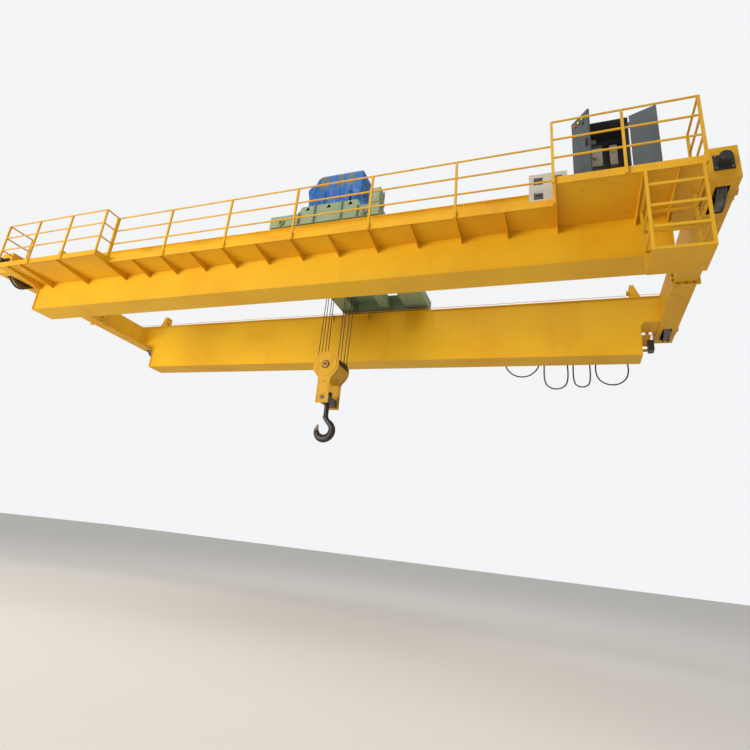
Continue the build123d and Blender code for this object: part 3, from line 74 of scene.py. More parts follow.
# The two girders are welded box beams of rolled plate, sprayed with yellow enamel. Their
# webs join the flanges in fillet welds that run the whole length of the bridge, and the
# walkway brackets are welded to the front web on both sides.
class Shade:
    """One shader socket: sums on it add Math nodes, and node() adds any other kind."""

    def __init__(self, tree, socket):
        self.tree = tree
        self.socket = socket

    def node(self, kind, settings=None, inputs=None, out=0):
        made = self.tree.nodes.new("ShaderNode" + kind)
        for name, value in (settings or {}).items():
            setattr(made, name, value)
        for key, value in (inputs or {}).items():
            if isinstance(value, Shade):
                self.tree.links.new(value.socket, made.inputs[key])
            else:
                made.inputs[key].default_value = value
        return Shade(self.tree, made.outputs[out] if made.outputs else None)

    def maths(self, operation, *values):
        return self.node("Math", {"operation": operation}, dict(enumerate(values)))

    def __add__(self, other):
        return self.maths("ADD", self, other)

    def __radd__(self, other):
        return self.maths("ADD", other, self)

    def __sub__(self, other):
        return self.maths("SUBTRACT", self, other)

    def __rsub__(self, other):
        return self.maths("SUBTRACT", other, self)

    def __mul__(self, other):
        return self.maths("MULTIPLY", self, other)

    def __rmul__(self, other):
        return self.maths("MULTIPLY", other, self)

    def ease(self, low, high):
        """A smooth step, 0 up to the low value and 1 from the high one."""
        return self.node("MapRange", {"interpolation_type": "SMOOTHSTEP"}, {0: self, 1: low, 2: high})

    def noise(self, size, detail, stretch=(1, 1, 1), rough=0.5):
        """Noise in patches of about the given size in metres."""
        spread = self.node("Mapping", None, {0: self, 3: stretch})
        return spread.node("TexNoise", None, {"Vector": spread, "Scale": 1 / size, "Detail": detail,
                                              "Roughness": rough})

    def axis(self, name):
        return self.node("SeparateXYZ", None, {0: self}, out="XYZ".index(name))

    def blend(self, low, high):
        """A colour that goes from the low one at 0 to the high one at 1."""
        return self.node("Mix", {"data_type": "RGBA"}, {0: self, 6: low, 7: high}, out=2)


def start_finish(name):
    """An empty material and the Object coordinates that its pattern is laid out on."""
    material = bpy.data.materials.new(name)
    material.use_nodes = True
    tree = material.node_tree
    tree.nodes.clear()
    coordinates = tree.nodes.new("ShaderNodeTexCoord")
    return material, Shade(tree, coordinates.outputs["Object"])


def close_finish(material, place, colour, rough, metal=0.0, bump=None, depth=0.002, specular=0.5):
    """The one shader of a material, with the finish that was worked out for it."""
    sockets = {"Base Color": colour, "Roughness": rough, "Metallic": metal, "Specular IOR Level": specular}
    if bump is not None:
        sockets["Normal"] = place.node("Bump", None, {"Height": bump, "Distance": depth, "Strength": 0.6})
    shader = place.node("BsdfPrincipled", None, sockets)
    place.node("OutputMaterial", None, {"Surface": shader})
    return material


def enamel(name, colour, shade, dirt, rough=0.38, grime=(0.16, 0.12, 0.085), tread=False):
    """Sprayed paint on plate: slow shifts of tone, runs of grime and specks of dust."""
    material, place = start_finish(name)
    drift = place.noise(1.6, detail=3)
    streaks = place.noise(0.16, detail=5, stretch=(1, 1, 0.10), rough=0.6)
    specks = place.noise(0.03, detail=6, rough=0.7)
    tone = drift.ease(0.35, 0.7).blend((*colour, 1), (*shade, 1))
    soiled = streaks.ease(0.52, 0.78) * dirt + specks.ease(0.62, 0.78) * dirt * 0.7
    relief = place.noise(0.012, detail=2) * 0.3 + drift
    if tread:
        waves_per_metre = 100
        leaning = place.node("Mapping", None, {0: place, 2: (0, 0, math.radians(45))})
        rows, columns = (leaning.axis(way) * waves_per_metre for way in "XY")
        crossed = rows.maths("SINE", rows) * columns.maths("SINE", columns)
        relief = relief + crossed.ease(0.25, 0.6) * 1.5
    return close_finish(material, place, soiled.blend(tone, (*grime, 1)),
                        rough + specks * 0.2 + soiled * 0.3, bump=relief, specular=0.25)


def paint(finish, *names):
    """Puts one finish on CAD nodes."""
    for name in names:
        mesh = nodes[name].data
        mesh.materials.clear()
        mesh.materials.append(finish)


def bead(bm, start, end, leg_a, leg_b):
    """A fillet weld along a corner, with one leg on each of the two plates that meet there."""
    start, end, leg_a, leg_b = (Vector(v) for v in (start, end, leg_a, leg_b))
    corners = [start, start + leg_a, start + (leg_a + leg_b) * 0.62, start + leg_b]
    face = bm.faces.new([bm.verts.new(corner) for corner in corners])
    drawn = bmesh.ops.extrude_face_region(bm, geom=[face], use_keep_orig=True)["geom"]
    far_end = [item for item in drawn if isinstance(item, bmesh.types.BMVert)]
    bmesh.ops.translate(bm, vec=end - start, verts=far_end)


def fitted(name, bm, body, finish, angle=32):
    """One finished piece from its mesh, riding on a body of the crane."""
    mesh = bpy.data.meshes.new(name)
    bmesh.ops.recalc_face_normals(bm, faces=bm.faces)
    bm.to_mesh(mesh)
    bm.free()
    mesh.polygons.foreach_set("use_smooth", [True] * len(mesh.polygons))
    mesh.set_sharp_from_angle(angle=math.radians(angle))
    mesh.materials.append(finish)
    piece = bpy.data.objects.new(name, mesh)
    scene.collection.objects.link(piece)
    if body:
        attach(piece, body)
    return piece


girder_paint = enamel("girder_enamel", (0.765, 0.430, 0.012), (0.71, 0.365, 0.008), dirt=0.10)
paint(girder_paint, "front_girder_top_flange", "front_girder_bottom_flange", "front_girder_webs",
      "rear_girder_top_flange", "rear_girder_bottom_flange", "rear_girder_webs",
      "front_walkway_brackets", "rear_walkway_brackets")

weld_leg = 0.009
seams = bmesh.new()
for side in ("front", "rear"):
    web_low, web_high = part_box(f"{side}_girder_webs")
    for face, out in ((web_low[1], -1), (web_high[1], 1)):
        bead(seams, (web_low[0], face, web_high[2]), (web_high[0], face, web_high[2]),
             (0, 0, -weld_leg), (0, out * weld_leg, 0))
front_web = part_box("front_girder_webs")[0][1]
bracket_count, bracket_pitch, last_bracket, bracket_thick = 12, 0.81, 5.47, 0.008
bracket_foot, bracket_head = -0.048, 0.088
platform_brackets = [6.64, -4.158, -5.41, -6.64]
walkway_brackets = [last_bracket - bracket_pitch * n for n in range(bracket_count)]
for x in walkway_brackets + platform_brackets:
    for edge, out in ((x, -1), (x + bracket_thick, 1)):
        bead(seams, (edge, front_web, bracket_foot), (edge, front_web, bracket_head),
             (out * weld_leg, 0, 0), (0, -weld_leg, 0))
fitted("girder_weld_seams", seams, "bridge", girder_paint, 60)


# The trolley runs on two flat-footed steel rails, which are clamped to the top flanges
# by pressed clips. Each clip is held by one bolt, and its lip bears on the rail's foot.
def bare(name, colour, shade, rough=0.35, metal=0.9, rust=0.6):
    """Bare steel: rolled, turned or forged, with rust in its pits."""
    material, place = start_finish(name)
    scale = place.noise(0.05, detail=6, rough=0.65)
    patches = place.noise(0.3, detail=3)
    tone = patches.ease(0.35, 0.68).blend((*colour, 1), (*shade, 1))
    rusty = scale.ease(0.58, 0.75) * rust
    stained = rusty.blend(tone, (0.12, 0.055, 0.025, 1))
    return close_finish(material, place, stained, rough + rusty * 0.5, metal - rusty * 0.8, scale, 0.0015)


def plate(bm, low, high, soft=0.0):
    """A rectangular plate or block between two corners, with its edges eased if soft."""
    low, high = Vector(low), Vector(high)
    place = Matrix.Translation((low + high) / 2) @ Matrix.Diagonal((*(high - low), 1))
    verts = bmesh.ops.create_cube(bm, size=1, matrix=place)["verts"]
    if soft:
        edges = list(dict.fromkeys(edge for vert in verts for edge in vert.link_edges))
        bmesh.ops.bevel(bm, geom=edges, offset=soft, segments=2, profile=0.5, affect="EDGES")
    return verts


def round_bar(bm, foot, axis, length, radius, sides=24, tip=None, turn=0.0):
    """A turned bar or disc that starts at its foot, and may narrow towards its tip."""
    axis = Vector(axis).normalized()
    upright = axis.to_track_quat("Z", "Y").to_matrix().to_4x4()
    place = Matrix.Translation(Vector(foot) + axis * length / 2) @ upright
    place = place @ Matrix.Rotation(turn, 4, "Z")
    turned = bmesh.ops.create_cone(bm, cap_ends=True, segments=sides, radius1=radius,
                                   radius2=radius if tip is None else tip, depth=length, matrix=place)
    return turned["verts"]


def bolt(bm, foot, axis, across, turn=0.0):
    """A hexagon head with its top edge eased, on a round washer, sized across its flats."""
    washer, height, sunk = 0.1, 0.42, 0.0005
    axis = Vector(axis).normalized()
    round_bar(bm, Vector(foot) - axis * sunk, axis, across * washer + sunk, across * 0.62, 20)
    seat = Vector(foot) + axis * across * washer
    head = round_bar(bm, seat, axis, across * height, across / math.sqrt(3), 6, turn=turn)
    top = [vert for vert in head if (vert.co - seat).dot(axis) > across * height / 2]
    edges = dict.fromkeys(edge for vert in top for edge in vert.link_edges)
    rim = [edge for edge in edges if all(vert in top for vert in edge.verts)]
    bmesh.ops.bevel(bm, geom=rim, offset=across * 0.05, segments=1, affect="EDGES")


rail_steel = bare("rail_steel", (0.36, 0.33, 0.30), (0.22, 0.19, 0.17))
bolt_steel = bare("bolt_steel", (0.30, 0.28, 0.26), (0.16, 0.14, 0.13), 0.45, 0.75)
paint(rail_steel, "trolley_rails")
rail_low, rail_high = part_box("trolley_rails")
half_foot, end_room = 0.055, 0.4
rail_line = rail_high[1] - half_foot
clip_pitch, half_clip, clip_edge, clip_bolt, bolt_out = 0.9, 0.03, 0.003, 0.03, 0.088
clip_count = int((rail_high[0] - rail_low[0] - end_room) / clip_pitch) + 1
pad_top = 0.034
clips = bmesh.new()
for line in (-rail_line, rail_line):
    for n in range(clip_count):
        x = (n - (clip_count - 1) / 2) * clip_pitch
        for out in (-1, 1):
            for near, far, foot, top in ((0.0555, 0.115, 0.0, pad_top), (0.036, 0.07, 0.021, 0.033)):
                front, back = sorted((line + out * near, line + out * far))
                plate(clips, (x - half_clip, front, rail_low[2] + foot),
                      (x + half_clip, back, rail_low[2] + top), clip_edge)
            bolt(clips, (x, line + out * bolt_out, rail_low[2] + pad_top), (0, 0, 1), clip_bolt, x)
fitted("rail_clips", clips, "bridge", bolt_steel)

# End trucks are box beams across the ends of the girders. Each is made in two halves, which
# meet in a flanged joint with a ring of bolts. Bearing boxes on them carry the wheels.
truck_paint = enamel("truck_enamel", (0.74, 0.40, 0.012), (0.66, 0.32, 0.010), dirt=0.35)
paint(truck_paint, "left_end_truck", "right_end_truck", "bearing_boxes", "trolley_stops")
truck_x, half_width, truck_foot, truck_head = 7.75, 0.20, 0.14, 0.70
lip_middle, joint_half, truck_bolt = 0.0225, 0.025, 0.03
first_bolt, side_pitch, top_pitch = 0.06, 0.11, 0.13
truck_bolts = bmesh.new()
for truck in (-truck_x, truck_x):
    ring = [(truck + side * (half_width + lip_middle), truck_foot + first_bolt + side_pitch * n)
            for side in (-1, 1) for n in range(5)]
    ring += [(truck + top_pitch * n, z) for z in (truck_foot - lip_middle, truck_head + lip_middle)
             for n in (-1, 0, 1)]
    for x, z in ring:
        for out in (-1, 1):
            bolt(truck_bolts, (x, out * joint_half, z), (0, out, 0), truck_bolt, x + z)
runway_wheels = ("left_front_wheel", "left_rear_wheel", "right_front_wheel", "right_rear_wheel")
corner, bearing_thick = 0.096, 0.02
for name in runway_wheels:
    low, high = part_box(name)
    middle = [(a + b) / 2 for a, b in zip(low, high)]
    truck = math.copysign(truck_x, middle[0])
    for out in (-1, 1):
        for y in (middle[1] - corner, middle[1] + corner):
            for z in (middle[2] - corner, middle[2] + corner):
                bolt(truck_bolts, (truck + out * (half_width + bearing_thick), y, z), (out, 0, 0),
                     truck_bolt, y * 9)
fitted("truck_bolts", truck_bolts, "bridge", bolt_steel)

# Runway wheels, trolley wheels and sheaves are steel castings, turned on their treads and
# grooves and dark with old grease. The wheels are pressed on their axles.
wheel_steel = bare("wheel_steel", (0.20, 0.18, 0.16), (0.10, 0.09, 0.08), 0.45, 0.7)
paint(wheel_steel, *runway_wheels, "trolley_drive_wheels", "trolley_idle_wheels",
      "upper_sheaves", "lower_sheaves")

# Each front runway wheel has a flange motor on its gearcase, finned and fan cooled, with
# a terminal box on top. Gearcase and motor are cast iron in dark machine enamel.
drive_paint = enamel("drive_enamel", (0.10, 0.15, 0.19), (0.07, 0.11, 0.14), dirt=0.4)
paint(drive_paint, "travel_drives")
motor_x, motor_y, motor_z, motor_radius = 7.06, -2.7, 0.49, 0.11
fin_count, half_fin = 32, Vector((0.16, 0.0018, 0.010))
fan_face, grille = 6.806, 0.004
fins = bmesh.new()
for side in (-1, 1):
    for n in range(fin_count):
        angle = math.radians(360 / fin_count * n)
        radial = Vector((0, math.cos(angle), math.sin(angle)))
        under_terminal_box = radial.z > 0.8
        if under_terminal_box:
            continue
        fin = plate(fins, -half_fin, half_fin)
        root = Vector((side * motor_x, motor_y, motor_z)) + radial * (motor_radius + 0.004)
        place = Matrix.Translation(root) @ Matrix.Rotation(angle - math.pi / 2, 4, "X")
        bmesh.ops.transform(fins, matrix=place, verts=fin)
    for half_x, half_y, foot, top, soft in ((0.07, 0.055, 0.095, 0.175, 0.008),
                                            (0.074, 0.059, 0.160, 0.166, 0.002)):
        plate(fins, (side * motor_x - half_x, motor_y - half_y, motor_z + foot),
              (side * motor_x + half_x, motor_y + half_y, motor_z + top), soft)
    cable_gland = (side * motor_x, motor_y - 0.05, motor_z + 0.125)
    round_bar(fins, cable_gland, (0, -1, 0), 0.035, 0.016, 12)
    for radius in (0.03, 0.055, 0.08):
        round_bar(fins, (side * fan_face, motor_y, motor_z), (-side, 0, 0), grille, radius, 32,
                  radius - grille)
fitted("travel_motor_fins", fins, "bridge", drive_paint)
gear_z, gear_ring, motor_ring, case_face, drive_bolt = 0.30, 0.084, 0.092, 7.305, 0.019
drive_bolts = bmesh.new()
for side in (-1, 1):
    for n in range(6):
        angle = math.radians(60 * n + 180)
        for centre_z, radius in ((gear_z, gear_ring), (motor_z, motor_ring)):
            level_on_motor = centre_z == motor_z and n % 3 == 0
            if level_on_motor:
                continue
            spot = (side * case_face, motor_y + radius * math.cos(angle),
                    centre_z + radius * math.sin(angle))
            bolt(drive_bolts, spot, (-side, 0, 0), drive_bolt, angle)
fitted("travel_drive_bolts", drive_bolts, "bridge", bolt_steel)


# Rubber buffers stand on plates at the four ends of the trucks. The rubber is moulded
# and dull, and each plate has a bolt in every corner.
def sheath(name, colour):
    """Black rubber, cable sheath or moulded plastic, dull, with dust on it."""
    material, place = start_finish(name)
    dust = place.noise(0.06, detail=5)
    dusty = (dust.ease(0.5, 0.8) * 0.4).blend((*colour, 1), (0.12, 0.11, 0.10, 1))
    return close_finish(material, place, dusty, 0.55 + dust * 0.25, bump=dust, depth=0.001)


black_rubber = sheath("black_rubber", (0.018, 0.018, 0.02))
paint(black_rubber, "buffers")
buffer_face, buffer_z, buffer_corner, buffer_bolt = 3.27, 0.42, 0.1, 0.024
buffer_bolts = bmesh.new()
for truck in (-truck_x, truck_x):
    for out in (-1, 1):
        for x in (-buffer_corner, buffer_corner):
            for z in (-buffer_corner, buffer_corner):
                spot = (truck + x, out * buffer_face, buffer_z + z)
                bolt(buffer_bolts, spot, (0, out, 0), buffer_bolt, x)
fitted("buffer_bolts", buffer_bolts, "bridge", bolt_steel)

# Walkways of chequer plate lie on the brackets beside both girders. Their handrails,
# and the hanging cage below, are welded from bar and tube and painted yellow on site.
deck_paint = enamel("deck_enamel", (0.74, 0.39, 0.012), (0.67, 0.32, 0.010), dirt=0.22, tread=True)
paint(deck_paint, "front_walkway_deck", "rear_walkway_deck", "cage_floor")
rail_paint = enamel("handrail_enamel", (0.70, 0.39, 0.018), (0.62, 0.32, 0.012), dirt=0.3)
paint(rail_paint, "front_handrail_left", "front_handrail_middle", "front_handrail_right", "rear_handrail",
      "cage_left_side", "cage_right_side", "cage_rails", "festoon_track")

# The festoon cable hangs in four loops between its carriers, beside the rear girder.
# Each loop is one run of rubber-sheathed cable, clamped under two saddles by bolts.
cable_size = 0.034
saddle_underside, half_saddle, straight = -0.295, 0.056, 0.04
carriers = (4.0, 4.95, 5.64, 6.15, 7.0)
loop_bottoms = (0.78, 1.11, 1.06, 1.01)
festoon_y = 2.995
for n, lowest in enumerate(loop_bottoms):
    middle = (carriers[n] + carriers[n + 1]) / 2
    half = (carriers[n + 1] - carriers[n]) / 2 - half_saddle
    eighth = half * math.tan(math.radians(22.5))
    lead_in = half * 0.95
    side = [(-lead_in, saddle_underside), (-lead_in, saddle_underside - straight),
            (-half, half - lowest - eighth), (-eighth, -lowest)]
    side += [(-x, z) for x, z in reversed(side)]
    curve = bpy.data.curves.new(f"festoon_cable_{n + 1}", "CURVE")
    curve.dimensions = "3D"
    curve.bevel_depth = cable_size / 2
    curve.bevel_resolution = 4
    curve.resolution_u = 10
    curve.use_fill_caps = True
    route = curve.splines.new("NURBS")
    route.points.add(len(side) - 1)
    for point, (x, z) in zip(route.points, side):
        point.co = (middle + x, festoon_y, z, 1)
    route.order_u = 3
    route.use_endpoint_u = True
    curve.materials.append(black_rubber)
    loop = bpy.data.objects.new(f"festoon_cable_{n + 1}", curve)
    scene.collection.objects.link(loop)
    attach(loop, "bridge")
    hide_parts(f"festoon_loop_{n + 1}")
    paint(black_rubber, f"festoon_loop_{n + 1}")
    middle + side[0][0]
zinc = bare("zinc_plate", (0.46, 0.47, 0.48), (0.36, 0.37, 0.38), 0.4, 0.85)
paint(zinc, "festoon_carriers")
clamp_out, clamp_up, clamp_bolt = 0.045, 0.03, 0.013
clamps = bmesh.new()
for x in carriers:
    for out in (-1, 1):
        bolt(clamps, (x, festoon_y + out * clamp_out, saddle_underside + clamp_up), (0, out, 0), clamp_bolt)
fitted("festoon_clamp_bolts", clamps, "bridge", zinc)

# The trolley's side beams, deck and hoist housings are welded plate in pale green enamel.
# Wheel bearings are bolted to the beams in round flanges, the drum's bearing to its stand,
# and the two halves of the hoist's gearcase to each other along their joint.
green_paint = enamel("trolley_enamel", (0.29, 0.37, 0.23), (0.23, 0.31, 0.19), dirt=0.45)
paint(green_paint, "trolley_side_beams", "trolley_deck", "drum_pedestal", "hoist_drive",
      "trolley_terminal_box")
trolley_bolt, beam_inner, beam_outer = 0.019, 2.10, 2.40
axle_z, flange_across, flange_high = 1.08, 0.088, 0.075
trolley_bolts = bmesh.new()
for side in (-1, 1):
    for face, out in ((beam_inner, -side), (beam_outer, side)):
        for axle in (-0.16, 1.80):
            for n in range(6):
                angle = math.radians(60 * n + 30)
                spot = (axle + flange_across * math.cos(angle), side * face,
                        axle_z + flange_high * math.sin(angle))
                bolt(trolley_bolts, spot, (0, out, 0), trolley_bolt, angle)
drum_x, drum_z, drum_flange = 0.894, 1.67, 0.105
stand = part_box("drum_pedestal")[1][1]
for n in range(8):
    angle = math.radians(45 * n + 22.5)
    spot = (drum_x + drum_flange * math.cos(angle), stand, drum_z + drum_flange * math.sin(angle))
    bolt(trolley_bolts, spot, (0, 1, 0), trolley_bolt, angle)
half_joint = 0.022
for x in (0.315, 1.455):
    for y in (-1.27, -1.12, -0.97):
        for out in (-1, 1):
            bolt(trolley_bolts, (x, y, drum_z + out * half_joint), (0, 0, out), trolley_bolt)
fitted("trolley_bolts", trolley_bolts, "trolley", bolt_steel)

# A sheet-steel terminal box stands on the right end of the near side beam, its lid held by
# four screws. Beside it a thin rod stands on a lug, which trips the switch at the rail's end.
box_low, box_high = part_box("trolley_terminal_box")
lid_margin, lid_thick = 0.008, 0.012
lid_face = box_low[1] - lid_thick
rod_foot, rod_radius, rod_height = (2.145, -2.25, 1.269), 0.009, 0.36
lid = bmesh.new()
plate(lid, (box_low[0] + lid_margin, lid_face, box_low[2] + 0.012),
      (box_high[0] - lid_margin, box_low[1], box_high[2] - 0.012), 0.003)
for x in (box_low[0] + 0.03, box_high[0] - 0.03):
    for z in (box_low[2] + 0.035, box_high[2] - 0.035):
        round_bar(lid, (x, lid_face, z), (0, -1, 0), 0.005, 0.008, 16, 0.006)
for x in (box_low[0] + 0.07, box_high[0] - 0.07):
    round_bar(lid, (x, box_high[1] + 0.028, box_low[2] + 0.09), (0, -1, 0), 0.03, 0.016, 12)
plate(lid, (2.0995, -2.28, 1.262), (2.165, -2.22, 1.270), 0.002)
round_bar(lid, rod_foot, (0, 0, 1), rod_height, rod_radius, 16)
round_bar(lid, rod_foot, (0, 0, 1), 0.02, 0.016, 6)
fitted("terminal_box_fittings", lid, "trolley", green_paint)

# The hoist drum is a grooved steel shell. The rope's two ends are clamped at its ends, and
# the turns that are wound on lie in the grooves, side by side.
drum_steel = bare("drum_steel", (0.24, 0.20, 0.17), (0.14, 0.12, 0.10), 0.4, 0.8)
rope_steel = bare("rope_wire", (0.13, 0.115, 0.10), (0.075, 0.065, 0.055), 0.5, 0.7, 0.4)
paint(drum_steel, "hoist_drum")
paint(rope_steel, "hoist_ropes")
rope_radius, strand_count, lay_length, ring_gap = 0.010, 6, 0.16, 0.02


def strand_rope(bm, line):
    """A six-strand wire rope along a line of points: strands are lobes that turn with the lay."""
    sides = strand_count * 2
    valley_share = 0.80
    across = (line[1] - line[0]).orthogonal().normalized()
    travelled = 0.0
    previous = None
    for n, point in enumerate(line):
        onward = line[min(n + 1, len(line) - 1)] - line[max(n - 1, 0)]
        onward.normalize()
        across = (across - onward * across.dot(onward)).normalized()
        beside = onward.cross(across)
        if n:
            travelled += (point - line[n - 1]).length
        ring = []
        for k in range(sides):
            angle = 2 * math.pi * (k / sides + travelled / lay_length)
            reach = rope_radius * (1.0 if k % 2 else valley_share)
            radial = across * math.cos(angle) + beside * math.sin(angle)
            ring.append(bm.verts.new(point + radial * reach))
        if previous:
            for k in range(sides):
                bm.faces.new((previous[k], previous[k - 1], ring[k - 1], ring[k]))
        else:
            bm.faces.new(ring)
        previous = ring
    bm.faces.new(list(reversed(previous)))


def turn_about(centre, radius, first, last, lateral=0.0):
    """Points along an arc of rope over a sheave or the drum, which stands across the Y axis."""
    centre = Vector(centre)
    count = max(2, round(abs(math.radians(last - first)) * radius / ring_gap))
    points = []
    for n in range(count):
        angle = math.radians(first + (last - first) * n / count)
        reach = Vector((radius * math.cos(angle), lateral * n / count, radius * math.sin(angle)))
        points.append(centre + reach)
    return points


pitch_radius, groove_pitch = 0.262, 0.045
near_clamp, near_groove, far_clamp, far_groove = -0.365, -0.275, 0.805, 0.355
wound = bmesh.new()
for first_y, last_y in ((near_clamp, near_groove), (far_clamp, far_groove)):
    turns = round(abs(first_y - last_y) / groove_pitch)
    centre = (drum_x, first_y, drum_z)
    strand_rope(wound, turn_about(centre, pitch_radius, 180 + 360 * turns, 180, last_y - first_y))
fitted("rope_on_drum", wound, "drum", rope_steel, 80)


# One wire rope runs from the drum through the block and back to the drum. It passes under
# four lower sheaves, over two upper ones and over the equalizer between them.
def run(start, end):
    """Points along a straight stretch of rope, up to its last point."""
    start, end = Vector(start), Vector(end)
    count = max(2, round((end - start).length / ring_gap))
    return [start.lerp(end, n / count) for n in range(count)]


hook_x, block_axis, upper_axis = 0.37, -1.52, 1.25
near_x, far_x = hook_x + pitch_radius, hook_x - pitch_radius
outer_sheave, upper_sheave, inner_sheave = 0.27, 0.18, 0.09
equalizer_z, equalizer_radius, equalizer_steps = 1.15, 0.09, 14
half_rope = []
for side, drum_groove in ((-1, near_groove), (1, far_groove)):
    outer, upper, inner = side * outer_sheave, side * upper_sheave, side * inner_sheave
    falls = run((near_x, drum_groove, drum_z), (near_x, outer, block_axis))
    falls += turn_about((hook_x, outer, block_axis), pitch_radius, 0, -180)
    falls += run((far_x, outer, block_axis), (far_x, upper, upper_axis))
    falls += turn_about((hook_x, upper, upper_axis), pitch_radius, 180, 0)
    falls += run((near_x, upper, upper_axis), (near_x, inner, block_axis))
    falls += turn_about((hook_x, inner, block_axis), pitch_radius, 0, -180)
    falls += run((far_x, inner, block_axis), (far_x, side * equalizer_radius, equalizer_z))
    half_rope.append(falls)
over = []
for n in range(equalizer_steps + 1):
    angle = math.pi * n / equalizer_steps
    over.append(Vector((far_x, -equalizer_radius * math.cos(angle),
                        equalizer_z + equalizer_radius * math.sin(angle))))
reeved = bmesh.new()
strand_rope(reeved, half_rope[0] + over + list(reversed(half_rope[1])))
hoist_rope = fitted("hoist_rope", reeved, None, rope_steel, 80)
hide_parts("hoist_ropes")
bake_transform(hoist_rope)

# A tarpaulin of coated cloth is thrown over the hoist's gearcase and motor. It is blue with grey stripes,
# and hangs in loose folds to a hem that is tied in below. The grey is painted only above a set height, and
# lower down the stripes are left blue, as painted shade on the hanging sides.
cloth_material, place = start_finish("tarpaulin_cloth")
wobble = (place.noise(0.25, detail=3) - 0.5) * 0.10
along = place.axis("X") + wobble
# high: the height above which the grey stripes are painted; below it they stay blue, as painted shade.
high = (place.axis("Z") + wobble).ease(2.12, 2.16)
seam = 0.01
grey_widths = 0
for first, last in ((0.47, 0.69), (0.90, 1.04), (1.17, 1.28)):
    begun = along.ease(first - seam, first + seam)
    ended = along.ease(last - seam, last + seam)
    grey_widths = grey_widths + begun * (1 - ended)
dusty = place.noise(0.20, detail=5).ease(0.45, 0.75)
blue = dusty.blend((0.008, 0.100, 0.34, 1), (0.024, 0.130, 0.36, 1))
grey = dusty.blend((0.095, 0.110, 0.120, 1), (0.140, 0.150, 0.155, 1))
weave = place.noise(0.004, detail=2)
close_finish(cloth_material, place, (grey_widths * high).blend(blue, grey), 0.42 + dusty * 0.2,
             bump=weave, depth=0.0008)
paint(cloth_material, "tarpaulin")


def near_point(spot, digits):
    """A point rounded to a few digits, so that two vertices in one place can be matched."""
    return tuple(round(c, digits) for c in spot)


def waver(x, y, rate, layer):
    """An uneven swell over the cloth, between about -1 and 1."""
    return noise.noise(Vector((x * rate, y * rate, layer)))


tarp_low, tarp_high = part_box("tarpaulin")
shoulder, inset, back_inset, hem_lift = 0.26, 0.03, 0.012, 0.02
tarp_middle = [(a + b) / 2 for a, b in zip(tarp_low, tarp_high)]
tarp_middle[1] += (inset - back_inset) / 2
half_x = (tarp_high[0] - tarp_low[0]) / 2 - inset
half_y = (tarp_high[1] - tarp_low[1] - inset - back_inset) / 2
rows, fold_rate, fold_depth, crumple_depth, hem_gather, hem_droop = 44, 27, 0.020, 0.026, 0.05, 0.05
deep_folds, deep_fold_width, deep_fold_depth, deep_fold_start = (0.66, 1.01, 1.28), 0.034, 0.085, 0.30
cover_mesh = bmesh.new()
laid_out = Matrix.Translation((tarp_middle[0], tarp_middle[1], tarp_high[2]))
laid_out = laid_out @ Matrix.Diagonal((half_x, half_y, 1, 1))
bmesh.ops.create_grid(cover_mesh, x_segments=62, y_segments=50, size=1, matrix=laid_out)

# The skirt grows down from the rim of the top, row by row, and each vertex keeps in mind
# the place on the rim that it hangs from.
home = {vert: vert.co.copy() for vert in cover_mesh.verts}
ring_edges = [edge for edge in cover_mesh.edges if len(edge.link_faces) == 1]
for row in range(1, rows + 1):
    depth = row / rows
    grown = bmesh.ops.extrude_edge_only(cover_mesh, edges=ring_edges)["geom"]
    above = {near_point(vert.co, 6): vert for edge in ring_edges for vert in edge.verts}
    fresh = [item for item in grown if isinstance(item, bmesh.types.BMVert)]
    for vert in fresh:
        home[vert] = home[above[near_point(vert.co, 6)]]
        x, y, top = home[vert]
        shares = ((x - tarp_middle[0]) / half_x, (y - tarp_middle[1]) / half_y)
        out = Vector([round(share) if abs(share) > 0.999 else 0 for share in shares] + [0])
        out.normalize()
        fold = math.sin((x + y * 1.7) * fold_rate + 2.1 * waver(x, y, 2, 0)) * min(1, depth * 1.8)
        crumple = waver(x, y, 5, depth * 6)
        droop = hem_droop * waver(x, y, 3, 7)
        start = top - max(0, tarp_low[0] + inset + shoulder - x)
        gather = -hem_gather * depth ** 2
        sway = 0.02 * math.sin(depth * 5)
        valley = sum(math.exp(-((x - at + sway) / deep_fold_width) ** 2) for at in deep_folds)
        on_front, on_back = out.y < -0.5, out.y > 0.5
        sunk = deep_fold_depth * valley * min(1, max(0, depth - deep_fold_start) * 3.5) if on_front else 0
        loose = 0.2 if on_back else 1.0
        vert.co = Vector((x, y, start - (start - tarp_low[2] - hem_lift + droop) * depth))
        vert.co += out * (fold_depth * fold + crumple_depth * crumple + gather - sunk) * loose
    ring_edges = [item for item in grown if isinstance(item, bmesh.types.BMEdge)
                  and all(vert in fresh for vert in item.verts)]
hem_places = [vert.co.copy() for vert in fresh]
for vert in cover_mesh.verts:
    if vert.co.z > tarp_high[2] - 0.001:
        vert.co.z -= max(0, tarp_low[0] + inset + shoulder - vert.co.x)
        vert.co.z += 0.012 * waver(vert.co.x, vert.co.y, 6, 3) - 0.012


def round_the_shaft(face):
    """Whether a bit of the cloth's back hangs where the drum's shaft comes out."""
    middle = face.calc_center_median()
    return middle.y > tarp_high[1] - 0.12 and abs(middle.x - drum_x) < 0.10 and middle.z < drum_z + 0.10


slit = [face for face in cover_mesh.faces if round_the_shaft(face)]
bmesh.ops.delete(cover_mesh, geom=slit, context="FACES")
cloth_area = sum(face.calc_area() for face in cover_mesh.faces)
tarpaulin = fitted("tarpaulin_cover", cover_mesh, "trolley", cloth_material, 180)
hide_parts("tarpaulin")

